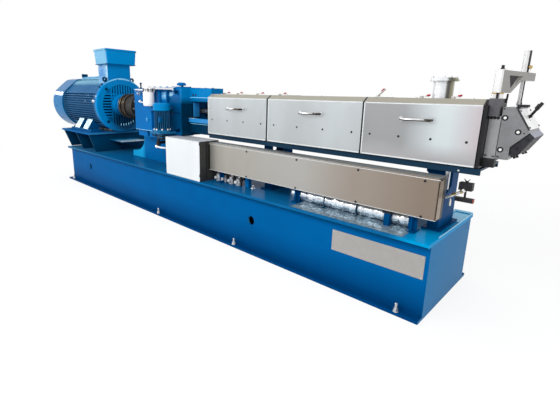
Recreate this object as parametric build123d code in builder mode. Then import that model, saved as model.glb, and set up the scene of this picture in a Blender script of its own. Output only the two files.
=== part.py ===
import os
from math import cos, radians, sin

from build123d import *

os.makedirs("parts", exist_ok=True)

# A co-rotating twin-screw extruder on a welded base. X runs along the machine from the
# motor to the die, -Y is the operator's side, Z is up. The origin is the centre of the
# base's underside.

# Base girder
base_length = 5200
base_width = 844
base_height = 486
deck_thickness = 25
web_thickness = 16
web_inset = 41
web_drive_inset = 35
flange_thickness = 20
flange_width = 110
flange_reach = 22
cross_thickness = 16
rib_stations = (-1780, -8, 1300, 2000)
lifting_hole_radius = 38
lifting_hole_height = 265
lifting_hole_stations = (-1942, 1184)
anchor_hole_radius = 11
anchor_hole_inset = 20
anchor_stations = (-2460, -165, 1023, 2460)

# Main axis, shared by the motor, the gearbox and the barrels
axis_height = 1102
running_gap = 0.3
seat_gap = 0.3

# Motor stand and the shelf under the coupling
stand_drive_end = -1780
stand_length = 860
stand_plate_thickness = 25
stand_plate_overhang = 40
stand_plate_half = 452
stand_foot_half = 353
stand_head_half = 440
gusset_thickness = 16
shelf_length = 400
shelf_half = 165
shelf_thickness = 14
shelf_drop = 92
shelf_bracket = 150

# Motor
motor_shaft_height = 355
frame_length = 1060
body_radius = 312
fin_radius = 345
fin_pitch = 31
fin_thickness = 10
fin_count = 13
shoulder_low = 27
shoulder_high = 69
shield_length = 60
fan_shield_length = 20
shield_radius = 352
bell_x = -1700
bell_depth = 40
bell_radius = 358
bell_edge = 12
bell_web = 12
pocket_outer = 272
bar_count = 9
bar_pitch = 36
bar_thickness = 17
hub_radius = 152
hub_front_radius = 138
hub_depth = 112
cap_radius = 118
cap_depth = 160
cowl_length = 400
cowl_radius = 368
cowl_wall = 8
cowl_lap = 24
cowl_edge = 40
grille_slots = 28
grille_inner = 70
grille_outer = 300
grille_slot_width = 12
foot_height = 30
foot_length = 660
foot_outer = 375
foot_inner = 232
foot_drive_gap = 150
foot_web_width = 160
foot_web_rise = 158
foot_web_inset = 12
foot_web_head = 282
foot_web_stations = (0.2, 0.62)
pad_length = 620
pad_start = 172
pad_width = 240
pad_rise = 352
pad_grooves = 14
groove_size = 16
neck_length = 276
neck_width = 316
neck_rise = 520
box_base_length = 345
box_base_width = 402
box_length = 363
box_width = 430
box_height = 173
box_lid = 20
box_lid_lip = 5
box_shift = 52
box_corner = 34
box_base_round = 14

# Coupling between motor and gearbox
shaft_radius = 45
shaft_engage = 38
shaft_end_gap = 3
coupling_radius = 155
coupling_drum = 138
coupling_disc = 40
coupling_slot = 60
coupling_gap = 60
coupling_hub_radius = 88
coupling_hub_length = 90
coupling_drum_length = 160

# Gearbox
gear_x = -830
gear_length = 910
gear_drop = 240
gear_rise = 231
gear_half = 272
stage_length = 350
stage_step = 13
waist_half = 236
rim_thickness = 30
gear_rib_thickness = 18
gear_rib_stations = (-330, -190, -50)
boss_radius = 84
boss_inset = 88
boss_drop = 102
boss_rise = 86
gear_foot_length = 190
gear_foot_height = 72
gear_foot_stations = (-735, -495)
pedestal_half = 100
pedestal_start = 125
pedestal_length = 755
pedestal_toe = 290
pedestal_toe_height = 66
pedestal_toe_root = 206
input_cover_radius = 150
input_cover_depth = 48
lid_length = 165
lid_width = 150
lid_thickness = 12
breather_x = -230
breather_y = -40
breather_radius = 50
breather_stem = 22
breather_cap = 32
breather_round = 26

# Oil filter and lubrication pump
filter_x = -420
filter_radius = 58
filter_neck_radius = 46
filter_length = 145
filter_head = 46
filter_rise = 35
filter_round = 14
pump_x = -112
pump_reach = 100
pump_core_radius = 66
pump_cap_radius = 86
pump_cap_round = 21
pump_flange_radius = 88
pump_fin_count = 24
pump_fin_depth = 16
pump_fin_thickness = 4
pump_body_drop = 190
pump_body_length = 190
pump_cap_length = 78
pump_shelf = 18
pump_drop = 55
pump_foot_length = 96
pump_foot_width = 74
pump_foot_round = 12

# Lantern between gearbox and barrels
lantern_length = 354
lantern_drop = 218
lantern_rise = 170
lantern_half = 175
lantern_corner = 12
lantern_side_wall = 70
lantern_wall = 36
lantern_plate = 12
lantern_plate_drop = 240
lantern_lip_rise = 211
lantern_lip = 10
window_start = 31
window_end = 323
window_drop = 67
window_rise = 97
window_corner = 36
screw_spacing = 52
screw_shaft_radius = 23
screw_engage = 20
screw_end_gap = 1
shaft_hole_radius = 92

# Barrels and the rail that carries them
barrel_count = 10
barrel_length = 229.8
barrel_half = 74
barrel_chamfer = 20
barrel_rim_half = 88
barrel_rim_length = 26
rail_drop = 196
rail_thickness = 36
rail_half = 205
rail_wall = 12
rail_end_lap = 7
saddle_length = 60
saddle_half = 80
saddle_foot_half = 120

# Supports under the rail, measured from the first barrel
support_stations = (744, 2111)
support_widths = (72, 64)
support_flares = (14, 42)
support_flare_heights = (60, 48)
support_half = 140
slot_fronts = (-124, -62)
slot_rears = (43, 20)
slot_slant_tops = (46, 161)
slot_slant_bottoms = (206, 206)
slot_head = 36
support_foot = 12
support_foot_reach = 24

# Covers over the barrels
cover_lengths = (736, 824, 678)
cover_seams = (7, 18, 12)
cover_front = 222
cover_rail_gap = 6
cover_rise = 174
cover_shoulder_drop = 30
cover_shoulder_depth = 46
cover_panel = 20
cover_skin = 8
cover_hinge_y = -90
cover_lip = 12
cover_lip_inner = -150
cover_lip_depth = 40
cover_joint_gap = 0.4
access_hole_radius = 7
access_holes = 4
access_hole_drop = 57
access_hole_share = 0.28
handle_length = 180
handle_radius = 8
handle_reach = 44
handle_rise = 50
handle_knee = 22
handle_bulge = 35
rear_panel = 10
rear_half = 222

# Fixed plate that closes the covers at the die end
end_plate_gap = 5.5
end_plate_thickness = 16
end_plate_top_drop = 5
end_plate_post = 34

# Vent stack on the barrels
vent_inset = 305
vent_radius = 58
vent_hole_gap = 14
vent_flange_radius = 82
vent_flange_thickness = 10
vent_lid_thickness = 9
vent_rise = 294
vent_lid_step = 6
vent_foot_radius = 60
vent_foot_height = 20

# Long wiring duct, its feet, and the side cabinet
duct_inset = 143
duct_length = 2004
duct_front = 322
duct_depth = 115
duct_bottom = 595
duct_top = 845
duct_lid = 8
duct_lid_reach = 1.5
duct_corner = 14
duct_foot_stations = (113, 983, 1863)
duct_foot_width = 52
duct_foot_depth = 90
duct_foot_plate = 8
duct_foot_rib = 54
cabinet_lap = 68
cabinet_length = 543
cabinet_front = 418
cabinet_depth = 230
cabinet_top = 856
cabinet_corner = 6

# Cooling water valves that stand on the casing top, measured from the first barrel
valve_y = -50
valve_stations = (40, 226, 476, 734, 1602, 1888, 2071)
valve_lever_lengths = (92, 82, 88, 84, 66, 44, 40)
valve_lever_tails = (12, 12, 12, 12, 0, 12, 12)
valve_lever_angles = (0, 0, 0, 0, 42, 0, 0)
valve_body_radius = 13
valve_body_height = 7
valve_lever_width = 15
valve_lever_thickness = 5

# Screen changer and die head
changer_thickness = 55
head_half = 162
head_drop = 136
head_rise = 88
nose_rise = 136
nose_shoulder = 54
nose_tip = 132
nose_tip_rise = 11
nose_foot = 58
nose_foot_drop = 67
heater_drop = 50
heater_depth = 32
clamp_thickness = 8
clamp_margin = 14
clamp_half = 154
clamp_lever_radius = 7
clamp_lever_length = 84
clamp_lever_up = 10
clamp_lever_y = -13
clamp_lever_way = (42, 30, 77)
clamp_lever_boss = 14
clamp_grip_radius = 9
clamp_grip_length = 42
lower_die_tip = 32
lower_die_root = 56
lower_die_heel = 10
lower_die_half = 150
arm_block_lap = 10
arm_block_length = 54
arm_block_rise = 179
arm_block_front = 183
arm_block_depth = 150
pivot_station = 18
pivot_y = -135
pivot_radius = 9
pivot_bore_gap = 0.1
pivot_bore_head = 1
pivot_engage = 60
column_radius = 13
column_spacing = 48
column_gap = 6
arm_turn = 12
arm_front = 32
arm_length = 354
arm_half = 22
arm_head_depth = 112
arm_drop = 208
arm_rise = 322
arm_bar_height = 44
arm_brace_end = 196
arm_window_start = 118
arm_window_end = 200
arm_window_margin = 24
arm_window_lift = 40
arm_nose_radius = 10
rod_station = 264
rod_radius = 11
rod_sleeve_radius = 18
rod_sleeve_rise = 438
rod_foot_radius = 14
rod_foot_height = 18
rod_clearance = 6

# Drain valve on the die-end support
drain_drop = 412
drain_y = -130
drain_reach = 120
drain_climb = 74
drain_pipe_radius = 6
drain_block_length = 70
drain_block_width = 44
drain_block_height = 44
drain_bar_length = 94
drain_bar_width = 30
drain_bar_height = 24
drain_bar_drop = 70

# Derived places
deck_bottom = base_height - deck_thickness
web_front = base_width / 2 - web_inset
web_inner = web_front - web_thickness
web_start = -base_length / 2 + web_drive_inset
web_end = base_length / 2 - cross_thickness
flange_outer = base_width / 2 + flange_reach
flange_middle = flange_outer - flange_width / 2
flange_inner = flange_outer - flange_width
stand_top = axis_height - motor_shaft_height
stand_plate_bottom = stand_top - stand_plate_thickness
stand_start = stand_drive_end - stand_length
frame_start = bell_x - shield_length - frame_length
cowl_flat = cowl_radius * cos(radians((shoulder_high - shoulder_low) / 2))
shoulder_angle = (shoulder_high + shoulder_low) / 2
shoulder_turn = 360 - 4 * shoulder_angle
gear_bottom = axis_height - gear_drop
gear_top = axis_height + gear_rise
gear_end = gear_x + gear_length
pedestal_top = gear_bottom - gear_foot_height
lantern_end = gear_end + lantern_length
barrel_start = lantern_end
barrel_end = barrel_start + barrel_count * barrel_length
changer_x = barrel_end
nose_x = changer_x + changer_thickness
rail_top = axis_height - rail_drop
rail_start = lantern_end
rail_end = barrel_end + rail_end_lap
rail_bottom = rail_top - rail_thickness
cover_bottom = rail_top + cover_rail_gap
cover_top = axis_height + cover_rise
cover_shoulder_height = cover_top - cover_shoulder_drop
cover_starts = []
cover_ends = []
for seam, length in zip(cover_seams, cover_lengths):
    cover_starts.append((cover_ends[-1] if cover_ends else barrel_start) + seam)
    cover_ends.append(cover_starts[-1] + length)
casing_start = cover_starts[0]
casing_end = cover_ends[-1]
vent_x = barrel_end - vent_inset
vent_height = axis_height + vent_rise
duct_start = lantern_end + duct_inset
duct_end = duct_start + duct_length
cabinet_start = gear_end - cabinet_lap
head_bottom = axis_height - head_drop
head_top = axis_height + head_rise
nose_top = axis_height + nose_rise
nose_shoulder_x = nose_x + nose_shoulder
nose_tip_x = nose_x + nose_tip
nose_tip_z = axis_height + nose_tip_rise
nose_foot_x = nose_x + nose_foot
nose_foot_z = axis_height - nose_foot_drop
arm_block_x = changer_x - arm_block_lap
arm_block_top = axis_height + arm_block_rise
pivot_x = changer_x + pivot_station
arm_bottom = axis_height + arm_drop
arm_top = axis_height + arm_rise
coupling_start = bell_x + cap_depth
coupling_end = gear_x - input_cover_depth

# Deck plate of the base
with BuildPart() as base_deck:
    with BuildSketch(Plane.XY.offset(deck_bottom)):
        Rectangle(base_length, base_width)
    extrude(amount=deck_thickness)
base_deck.part.label = "base_deck"
export_step(base_deck.part, "parts/base_deck.step")

# Side webs with their round lifting holes
with BuildPart() as base_webs:
    with BuildSketch(Plane.XZ.offset(web_front)):
        with Locations(((web_start + web_end) / 2, (flange_thickness + deck_bottom) / 2)):
            Rectangle(web_end - web_start, deck_bottom - flange_thickness)
        with Locations([(x, lifting_hole_height) for x in lifting_hole_stations]):
            Circle(lifting_hole_radius, mode=Mode.SUBTRACT)
    extrude(amount=-web_thickness)
    mirror(about=Plane.XZ)
base_webs.part.label = "base_webs"
export_step(base_webs.part, "parts/base_webs.step")

# End plates and inner ribs of the base
with BuildPart() as base_cross_plates:
    for station in (web_start,) + rib_stations:
        with BuildSketch(Plane.YZ.offset(station)):
            with Locations((0, deck_bottom / 2)):
                Rectangle(2 * flange_inner, deck_bottom)
            with Locations((0, (deck_bottom + flange_thickness) / 2)):
                Rectangle(2 * web_inner, deck_bottom - flange_thickness)
        extrude(amount=cross_thickness)
    with BuildSketch(Plane.YZ.offset(web_end)):
        with Locations((0, deck_bottom / 2)):
            Rectangle(2 * flange_inner, deck_bottom)
        with Locations((0, (deck_bottom + flange_thickness) / 2)):
            Rectangle(2 * web_front, deck_bottom - flange_thickness)
    extrude(amount=cross_thickness)
base_cross_plates.part.label = "base_cross_plates"
export_step(base_cross_plates.part, "parts/base_cross_plates.step")

# Foot flanges along both sides, with the anchor holes
with BuildPart() as base_flanges:
    with BuildSketch(Plane.XY):
        with GridLocations(0, 2 * flange_middle, 1, 2):
            Rectangle(base_length, flange_width)
        for station in anchor_stations:
            with Locations((station, 0)):
                with GridLocations(0, 2 * (flange_outer - anchor_hole_inset), 1, 2):
                    Circle(anchor_hole_radius, mode=Mode.SUBTRACT)
    extrude(amount=flange_thickness)
base_flanges.part.label = "base_flanges"
export_step(base_flanges.part, "parts/base_flanges.step")

# Motor stand: three flared gussets, the shelf under the coupling, and a plate
with BuildPart() as stand_gussets:
    for step in range(3):
        gusset_x = stand_start + step * (stand_length - gusset_thickness) / 2
        with BuildSketch(Plane.YZ.offset(gusset_x)):
            with BuildLine():
                Polyline(
                    (-stand_foot_half, base_height),
                    (stand_foot_half, base_height),
                    (stand_head_half, stand_plate_bottom),
                    (-stand_head_half, stand_plate_bottom),
                    close=True,
                )
            make_face()
        extrude(amount=gusset_thickness)
    shelf_bottom = stand_plate_bottom - shelf_drop
    with BuildSketch(Plane.XY.offset(shelf_bottom)):
        with Locations((stand_drive_end + shelf_length / 2, 0)):
            Rectangle(shelf_length, 2 * shelf_half)
    extrude(amount=shelf_thickness)
    with BuildSketch(Plane.XZ.offset(gusset_thickness / 2)):
        with BuildLine():
            Polyline(
                (stand_drive_end, shelf_bottom),
                (stand_drive_end + shelf_bracket, shelf_bottom),
                (stand_drive_end, base_height),
                close=True,
            )
        make_face()
    extrude(amount=-gusset_thickness)
stand_gussets.part.label = "stand_gussets"
export_step(stand_gussets.part, "parts/stand_gussets.step")

with BuildPart() as stand_plate:
    with BuildSketch(Plane.XY.offset(stand_plate_bottom)):
        with Locations((stand_start + stand_length / 2, 0)):
            Rectangle(stand_length + 2 * stand_plate_overhang, 2 * stand_plate_half)
    extrude(amount=stand_plate_thickness)
stand_plate.part.label = "stand_plate"
export_step(stand_plate.part, "parts/stand_plate.step")

# Motor frame: flat shoulders above level cooling fins, a round belly, end shields and a top pad
with BuildPart() as motor_frame:
    low_y = fin_radius * cos(radians(shoulder_low))
    low_z = fin_radius * sin(radians(shoulder_low))
    high_y = fin_radius * cos(radians(shoulder_high))
    high_z = fin_radius * sin(radians(shoulder_high))
    last_fin = low_z - fin_count * fin_pitch
    with BuildSketch(Plane.YZ.offset(frame_start)):
        with Locations((0, axis_height + (low_z + last_fin) / 2)):
            with GridLocations(0, fin_pitch, 1, fin_count + 1):
                Rectangle(2 * fin_radius, fin_thickness)
        with Locations((0, axis_height + (last_fin - fin_radius) / 2)):
            Rectangle(2 * fin_radius, last_fin + fin_radius)
        with Locations((0, axis_height)):
            Circle(fin_radius, mode=Mode.INTERSECT)
            Circle(body_radius)
        with BuildLine():
            Polyline(
                (-low_y, axis_height + low_z),
                (low_y, axis_height + low_z),
                (high_y, axis_height + high_z),
                (-high_y, axis_height + high_z),
                close=True,
            )
        make_face()
    extrude(amount=frame_length)
    shield_flat = cowl_flat - cowl_wall - seat_gap
    shields = ((frame_start - fan_shield_length, fan_shield_length), (bell_x - shield_length, shield_length))
    for shield_x, shield_depth in shields:
        with BuildSketch(Plane.YZ.offset(shield_x)):
            with Locations((0, axis_height)):
                Circle(shield_radius)
                with PolarLocations(shield_flat + shield_radius / 2, 2, shoulder_angle, shoulder_turn):
                    Rectangle(shield_radius, 2 * shield_radius, mode=Mode.SUBTRACT)
        extrude(amount=shield_depth)
    pad_middle = frame_start + pad_start + pad_length / 2
    with BuildSketch(Plane.XY.offset(axis_height + body_radius / 2)):
        with Locations((pad_middle, 0)):
            Rectangle(pad_length, pad_width)
    extrude(amount=pad_rise - body_radius / 2)
    with BuildSketch(Plane.XY.offset(axis_height + pad_rise)):
        with Locations((pad_middle, 0)):
            with GridLocations(pad_length / pad_grooves, 0, pad_grooves - 1, 1):
                Rectangle(groove_size, pad_width)
    extrude(amount=-groove_size, mode=Mode.SUBTRACT)
motor_frame.part.label = "motor_frame"
export_step(motor_frame.part, "parts/motor_frame.step")

# Motor feet: a plate under each side with two leaning webs up to the fins
with BuildPart() as motor_feet:
    foot_start = bell_x - foot_drive_gap - foot_length
    foot_middle = foot_start + foot_length / 2
    with BuildSketch(Plane.XY.offset(stand_top)):
        with Locations((foot_middle, 0)):
            with GridLocations(0, foot_outer + foot_inner, 1, 2):
                Rectangle(foot_length, foot_outer - foot_inner)
    extrude(amount=foot_height)
    for share in foot_web_stations:
        for side in (-1, 1):
            with BuildSketch(Plane.YZ.offset(foot_start + share * foot_length - foot_web_width / 4)):
                with BuildLine():
                    Polyline(
                        (side * (foot_outer - foot_web_inset), stand_top + foot_height),
                        (side * foot_web_head, stand_top + foot_web_rise),
                        (side * body_radius / 2, stand_top + foot_web_rise),
                        (side * body_radius / 2, stand_top + 2 * foot_height),
                        (side * foot_inner, stand_top + foot_height),
                        close=True,
                    )
                make_face()
                with Locations((0, axis_height)):
                    Circle(fin_radius, mode=Mode.SUBTRACT)
            extrude(amount=foot_web_width)
motor_feet.part.label = "motor_feet"
export_step(motor_feet.part, "parts/motor_feet.step")

# Sheet fan cowl with flat shoulders like the frame's and a slotted end
cowl_end = frame_start - fan_shield_length + cowl_lap - seat_gap
cowl_start = cowl_end - cowl_length
with BuildPart() as cowl_hollow:
    with BuildSketch(Plane.XZ):
        with BuildLine():
            Polyline(
                (cowl_start + cowl_wall, axis_height),
                (cowl_start + cowl_wall, axis_height + shield_radius - cowl_edge),
                (cowl_start + cowl_edge, axis_height + shield_radius + seat_gap),
                (cowl_end, axis_height + shield_radius + seat_gap),
                (cowl_end, axis_height),
                close=True,
            )
        make_face()
    revolve(axis=Axis((0, 0, axis_height), (1, 0, 0)))
    with BuildSketch(Plane.YZ.offset(cowl_start)):
        with Locations((0, axis_height)):
            with PolarLocations(cowl_flat - cowl_wall + cowl_radius / 2, 2, shoulder_angle, shoulder_turn):
                Rectangle(cowl_radius, 2 * cowl_radius)
    extrude(amount=cowl_length, mode=Mode.SUBTRACT)

with BuildPart() as motor_fan_cowl:
    with BuildSketch(Plane.XZ):
        with BuildLine():
            Polyline(
                (cowl_start, axis_height),
                (cowl_start, axis_height + cowl_radius - cowl_edge),
                (cowl_start + cowl_edge / 2, axis_height + cowl_radius - cowl_edge / 5),
                (cowl_start + cowl_edge, axis_height + cowl_radius),
                (cowl_end, axis_height + cowl_radius),
                (cowl_end, axis_height),
                close=True,
            )
        make_face()
    revolve(axis=Axis((0, 0, axis_height), (1, 0, 0)))
    with BuildSketch(Plane.YZ.offset(cowl_start)):
        with Locations((0, axis_height)):
            with PolarLocations(cowl_flat + cowl_radius / 2, 2, shoulder_angle, shoulder_turn):
                Rectangle(cowl_radius, 2 * cowl_radius)
    extrude(amount=cowl_length, mode=Mode.SUBTRACT)
    add(cowl_hollow.part, mode=Mode.SUBTRACT)
    with BuildSketch(Plane.YZ.offset(cowl_start)):
        with Locations((0, axis_height)):
            with PolarLocations((grille_inner + grille_outer) / 2, grille_slots):
                Rectangle(grille_outer - grille_inner, grille_slot_width)
    extrude(amount=cowl_wall, mode=Mode.SUBTRACT)
motor_fan_cowl.part.label = "motor_fan_cowl"
export_step(motor_fan_cowl.part, "parts/motor_fan_cowl.step")

# Drive-end bell: a turned plate with a flat ring and four barred cooling pockets
with BuildPart() as motor_end_bell:
    with BuildSketch(Plane.XZ):
        with BuildLine():
            Polyline(
                (bell_x, axis_height),
                (bell_x, axis_height + bell_radius),
                (bell_x + bell_depth - bell_edge, axis_height + bell_radius),
                (bell_x + bell_depth, axis_height + bell_radius - bell_edge),
                (bell_x + bell_depth, axis_height + pocket_outer),
                (bell_x + bell_web, axis_height + pocket_outer),
                (bell_x + bell_web, axis_height),
                close=True,
            )
        make_face()
    revolve(axis=Axis((0, 0, axis_height), (1, 0, 0)))
    bar_length = pocket_outer + bell_edge - hub_radius / 2
    with BuildSketch(Plane.YZ.offset(bell_x + bell_web)):
        with Locations((0, axis_height)):
            with PolarLocations(pocket_outer + bell_edge - bar_length / 2, 4):
                with GridLocations(0, bar_pitch, 1, bar_count):
                    Rectangle(bar_length, bar_thickness)
            Circle(hub_radius, mode=Mode.SUBTRACT)
            Circle(pocket_outer + bell_edge / 2, mode=Mode.INTERSECT)
    extrude(amount=bell_depth - bell_web)
motor_end_bell.part.label = "motor_end_bell"
export_step(motor_end_bell.part, "parts/motor_end_bell.step")

# Bearing hub on the bell: a tapered hub and a cap with a blind seat for the shaft
with BuildPart() as motor_hub:
    with BuildSketch(Plane.XZ):
        with BuildLine():
            Polyline(
                (bell_x + bell_web, axis_height),
                (bell_x + bell_web, axis_height + hub_radius),
                (bell_x + bell_depth, axis_height + hub_radius),
                (bell_x + hub_depth, axis_height + hub_front_radius),
                (bell_x + hub_depth, axis_height + cap_radius),
                (bell_x + cap_depth, axis_height + cap_radius),
                (bell_x + cap_depth, axis_height + shaft_radius + running_gap),
                (bell_x + cap_depth - shaft_engage, axis_height + shaft_radius + running_gap),
                (bell_x + cap_depth - shaft_engage, axis_height),
                close=True,
            )
        make_face()
    revolve(axis=Axis((0, 0, axis_height), (1, 0, 0)))
motor_hub.part.label = "motor_hub"
export_step(motor_hub.part, "parts/motor_hub.step")

# Terminal box on its neck, wider at the lid than at its rounded bottom
with BuildPart() as terminal_box:
    box_bottom = axis_height + neck_rise
    neck_middle = bell_x - neck_length / 2
    box_middle = neck_middle + box_shift
    with BuildSketch(Plane.XY.offset(box_bottom)):
        with Locations((box_middle, 0)):
            RectangleRounded(box_base_length, box_base_width, box_corner)
    with BuildSketch(Plane.XY.offset(box_bottom + box_height)):
        with Locations((box_middle, 0)):
            RectangleRounded(box_length, box_width, box_corner)
    loft()
    fillet(terminal_box.edges().group_by(Axis.Z)[0], radius=box_base_round)
    with BuildSketch(Plane.XY.offset(box_bottom + box_height)):
        with Locations((box_middle, 0)):
            RectangleRounded(box_length + 2 * box_lid_lip, box_width + 2 * box_lid_lip, box_corner)
    extrude(amount=box_lid)
    with BuildSketch(Plane.XY.offset(axis_height + body_radius / 2)):
        with Locations((neck_middle, 0)):
            Rectangle(neck_length, neck_width)
    extrude(amount=neck_rise - body_radius / 2)
    add(motor_frame.part, mode=Mode.SUBTRACT)
terminal_box.part.label = "terminal_box"
export_step(terminal_box.part, "parts/terminal_box.step")

# Turning coupling with its two shaft ends
with BuildPart() as drive_coupling:
    shaft_start = coupling_start - shaft_engage + shaft_end_gap
    shaft_end = coupling_end + shaft_engage - shaft_end_gap
    disc_1 = coupling_start + coupling_gap
    disc_2 = disc_1 + coupling_disc + coupling_slot
    drum_end = disc_2 + coupling_disc + coupling_drum_length
    hub_end = drum_end + coupling_disc + coupling_hub_length
    with BuildSketch(Plane.XZ):
        with BuildLine():
            Polyline(
                (shaft_start, axis_height),
                (shaft_start, axis_height + shaft_radius),
                (disc_1 - coupling_gap / 2, axis_height + shaft_radius),
                (disc_1 - coupling_gap / 2, axis_height + coupling_hub_radius),
                (disc_1, axis_height + coupling_hub_radius),
                (disc_1, axis_height + coupling_radius),
                (disc_1 + coupling_disc, axis_height + coupling_radius),
                (disc_1 + coupling_disc, axis_height + coupling_drum),
                (disc_2, axis_height + coupling_drum),
                (disc_2, axis_height + coupling_radius),
                (disc_2 + coupling_disc, axis_height + coupling_radius),
                (disc_2 + coupling_disc, axis_height + coupling_drum),
                (drum_end, axis_height + coupling_drum),
                (drum_end, axis_height + coupling_radius),
                (drum_end + coupling_disc, axis_height + coupling_radius),
                (drum_end + coupling_disc, axis_height + coupling_hub_radius),
                (hub_end, axis_height + coupling_hub_radius),
                (hub_end, axis_height + shaft_radius),
                (shaft_end, axis_height + shaft_radius),
                (shaft_end, axis_height),
                close=True,
            )
        make_face()
    revolve(axis=Axis((0, 0, axis_height), (1, 0, 0)))
drive_coupling.part.label = "drive_coupling"
export_step(drive_coupling.part, "parts/drive_coupling.step")

# Gearbox pedestal with a swept toe on the motor side
with BuildPart() as gear_pedestal:
    pedestal_x = gear_x - pedestal_start
    toe_x = pedestal_x - pedestal_toe
    toe_tip = (toe_x, base_height + pedestal_toe_height)
    toe_root = (pedestal_x, base_height + pedestal_toe_root)
    toe_dip = (pedestal_x - pedestal_toe / 3, base_height + pedestal_toe_root / 2)
    with BuildSketch(Plane.XZ.offset(pedestal_half)):
        with BuildLine():
            Polyline(
                toe_tip,
                (toe_x, base_height),
                (pedestal_x + pedestal_length, base_height),
                (pedestal_x + pedestal_length, pedestal_top),
                (pedestal_x, pedestal_top),
                toe_root,
            )
            ThreePointArc(toe_root, toe_dip, toe_tip)
        make_face()
    extrude(amount=-2 * pedestal_half)
gear_pedestal.part.label = "gear_pedestal"
export_step(gear_pedestal.part, "parts/gear_pedestal.step")

# Gearbox housing: input stage, waisted main stage with rims, ribs, bosses and feet
with BuildPart() as gear_housing:
    stage_end = gear_x + stage_length
    with BuildSketch(Plane.XY.offset(gear_bottom)):
        with Locations((gear_x + stage_length / 2, 0)):
            Rectangle(stage_length, 2 * gear_half)
    extrude(amount=gear_top - stage_step - gear_bottom)
    with BuildSketch(Plane.XY.offset(gear_bottom)):
        with Locations(((stage_end + gear_end) / 2, 0)):
            Rectangle(gear_end - stage_end, 2 * waist_half)
    extrude(amount=gear_top - gear_bottom)
    rim_bottoms = (gear_bottom, axis_height - rim_thickness / 2, gear_top - rim_thickness)
    for rim_bottom in rim_bottoms:
        with BuildSketch(Plane.XY.offset(rim_bottom)):
            with Locations(((stage_end + gear_end) / 2, 0)):
                Rectangle(gear_end - stage_end, 2 * gear_half)
        extrude(amount=rim_thickness)
    with BuildSketch(Plane.YZ.offset(gear_end - rim_thickness)):
        with Locations((0, (gear_bottom + gear_top) / 2)):
            Rectangle(2 * gear_half, gear_top - gear_bottom)
    extrude(amount=rim_thickness)
    for rib_x in gear_rib_stations:
        with BuildSketch(Plane.YZ.offset(rib_x - gear_rib_thickness / 2)):
            with Locations((0, (gear_bottom + gear_top) / 2)):
                Rectangle(2 * (gear_half - rim_thickness / 3), gear_top - gear_bottom - rim_thickness)
        extrude(amount=gear_rib_thickness)
    with BuildSketch(Plane.XZ.offset(gear_half)):
        with Locations((gear_end - boss_inset, axis_height - boss_drop)):
            Circle(boss_radius)
        with Locations((gear_end - boss_inset, axis_height + boss_rise)):
            Circle(boss_radius)
    extrude(amount=-2 * gear_half)
    with BuildSketch(Plane.XY.offset(gear_bottom)):
        with Locations([(station, 0) for station in gear_foot_stations]):
            Rectangle(gear_foot_length, 2 * waist_half)
    extrude(amount=pedestal_top - gear_bottom)
    with BuildSketch(Plane.YZ.offset(gear_end)):
        with Locations((0, axis_height)):
            with GridLocations(screw_spacing, 0, 2, 1):
                Circle(screw_shaft_radius + running_gap)
    extrude(amount=-screw_engage, mode=Mode.SUBTRACT)
gear_housing.part.label = "gear_housing"
export_step(gear_housing.part, "parts/gear_housing.step")

# Round cover around the input shaft
with BuildPart() as gear_input_cover:
    with BuildSketch(Plane.YZ.offset(coupling_end)):
        with Locations((0, axis_height)):
            Circle(input_cover_radius)
            Circle(shaft_radius + running_gap, mode=Mode.SUBTRACT)
    extrude(amount=input_cover_depth)
    chamfer(gear_input_cover.faces().sort_by(Axis.X)[0].outer_wire().edges(), length=input_cover_depth / 4)
gear_input_cover.part.label = "gear_input_cover"
export_step(gear_input_cover.part, "parts/gear_input_cover.step")

# Inspection lid and breather on top of the gearbox
with BuildPart() as gear_breather:
    with BuildSketch(Plane.XY.offset(gear_top)):
        with Locations((breather_x, breather_y)):
            RectangleRounded(lid_length, lid_width, lid_thickness)
    extrude(amount=lid_thickness)
    with BuildSketch(Plane.XY.offset(gear_top + lid_thickness)):
        with Locations((breather_x, breather_y)):
            Circle(breather_stem)
    extrude(amount=lid_thickness)
    with BuildSketch(Plane.XY.offset(gear_top + 2 * lid_thickness)):
        with Locations((breather_x, breather_y)):
            Circle(breather_radius)
    extrude(amount=breather_cap)
    fillet(gear_breather.edges().group_by(Axis.Z)[-1], radius=breather_round)
gear_breather.part.label = "gear_breather"
export_step(gear_breather.part, "parts/gear_breather.step")

# Oil filter canister under its head
with BuildPart() as oil_filter:
    filter_y = -(gear_half + filter_radius)
    filter_bottom = axis_height + filter_rise
    with BuildSketch(Plane.XY.offset(filter_bottom)):
        with Locations((filter_x, filter_y)):
            Circle(filter_radius)
    extrude(amount=filter_length)
    fillet(oil_filter.edges().group_by(Axis.Z)[0], radius=filter_round)
    with BuildSketch(Plane.XY.offset(filter_bottom + filter_length)):
        with Locations((filter_x, filter_y)):
            Circle(filter_neck_radius)
        with Locations((filter_x, filter_y / 2 - gear_half / 2)):
            Rectangle(filter_radius, -gear_half - filter_y)
    extrude(amount=filter_head)
oil_filter.part.label = "oil_filter"
export_step(oil_filter.part, "parts/oil_filter.step")

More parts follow.
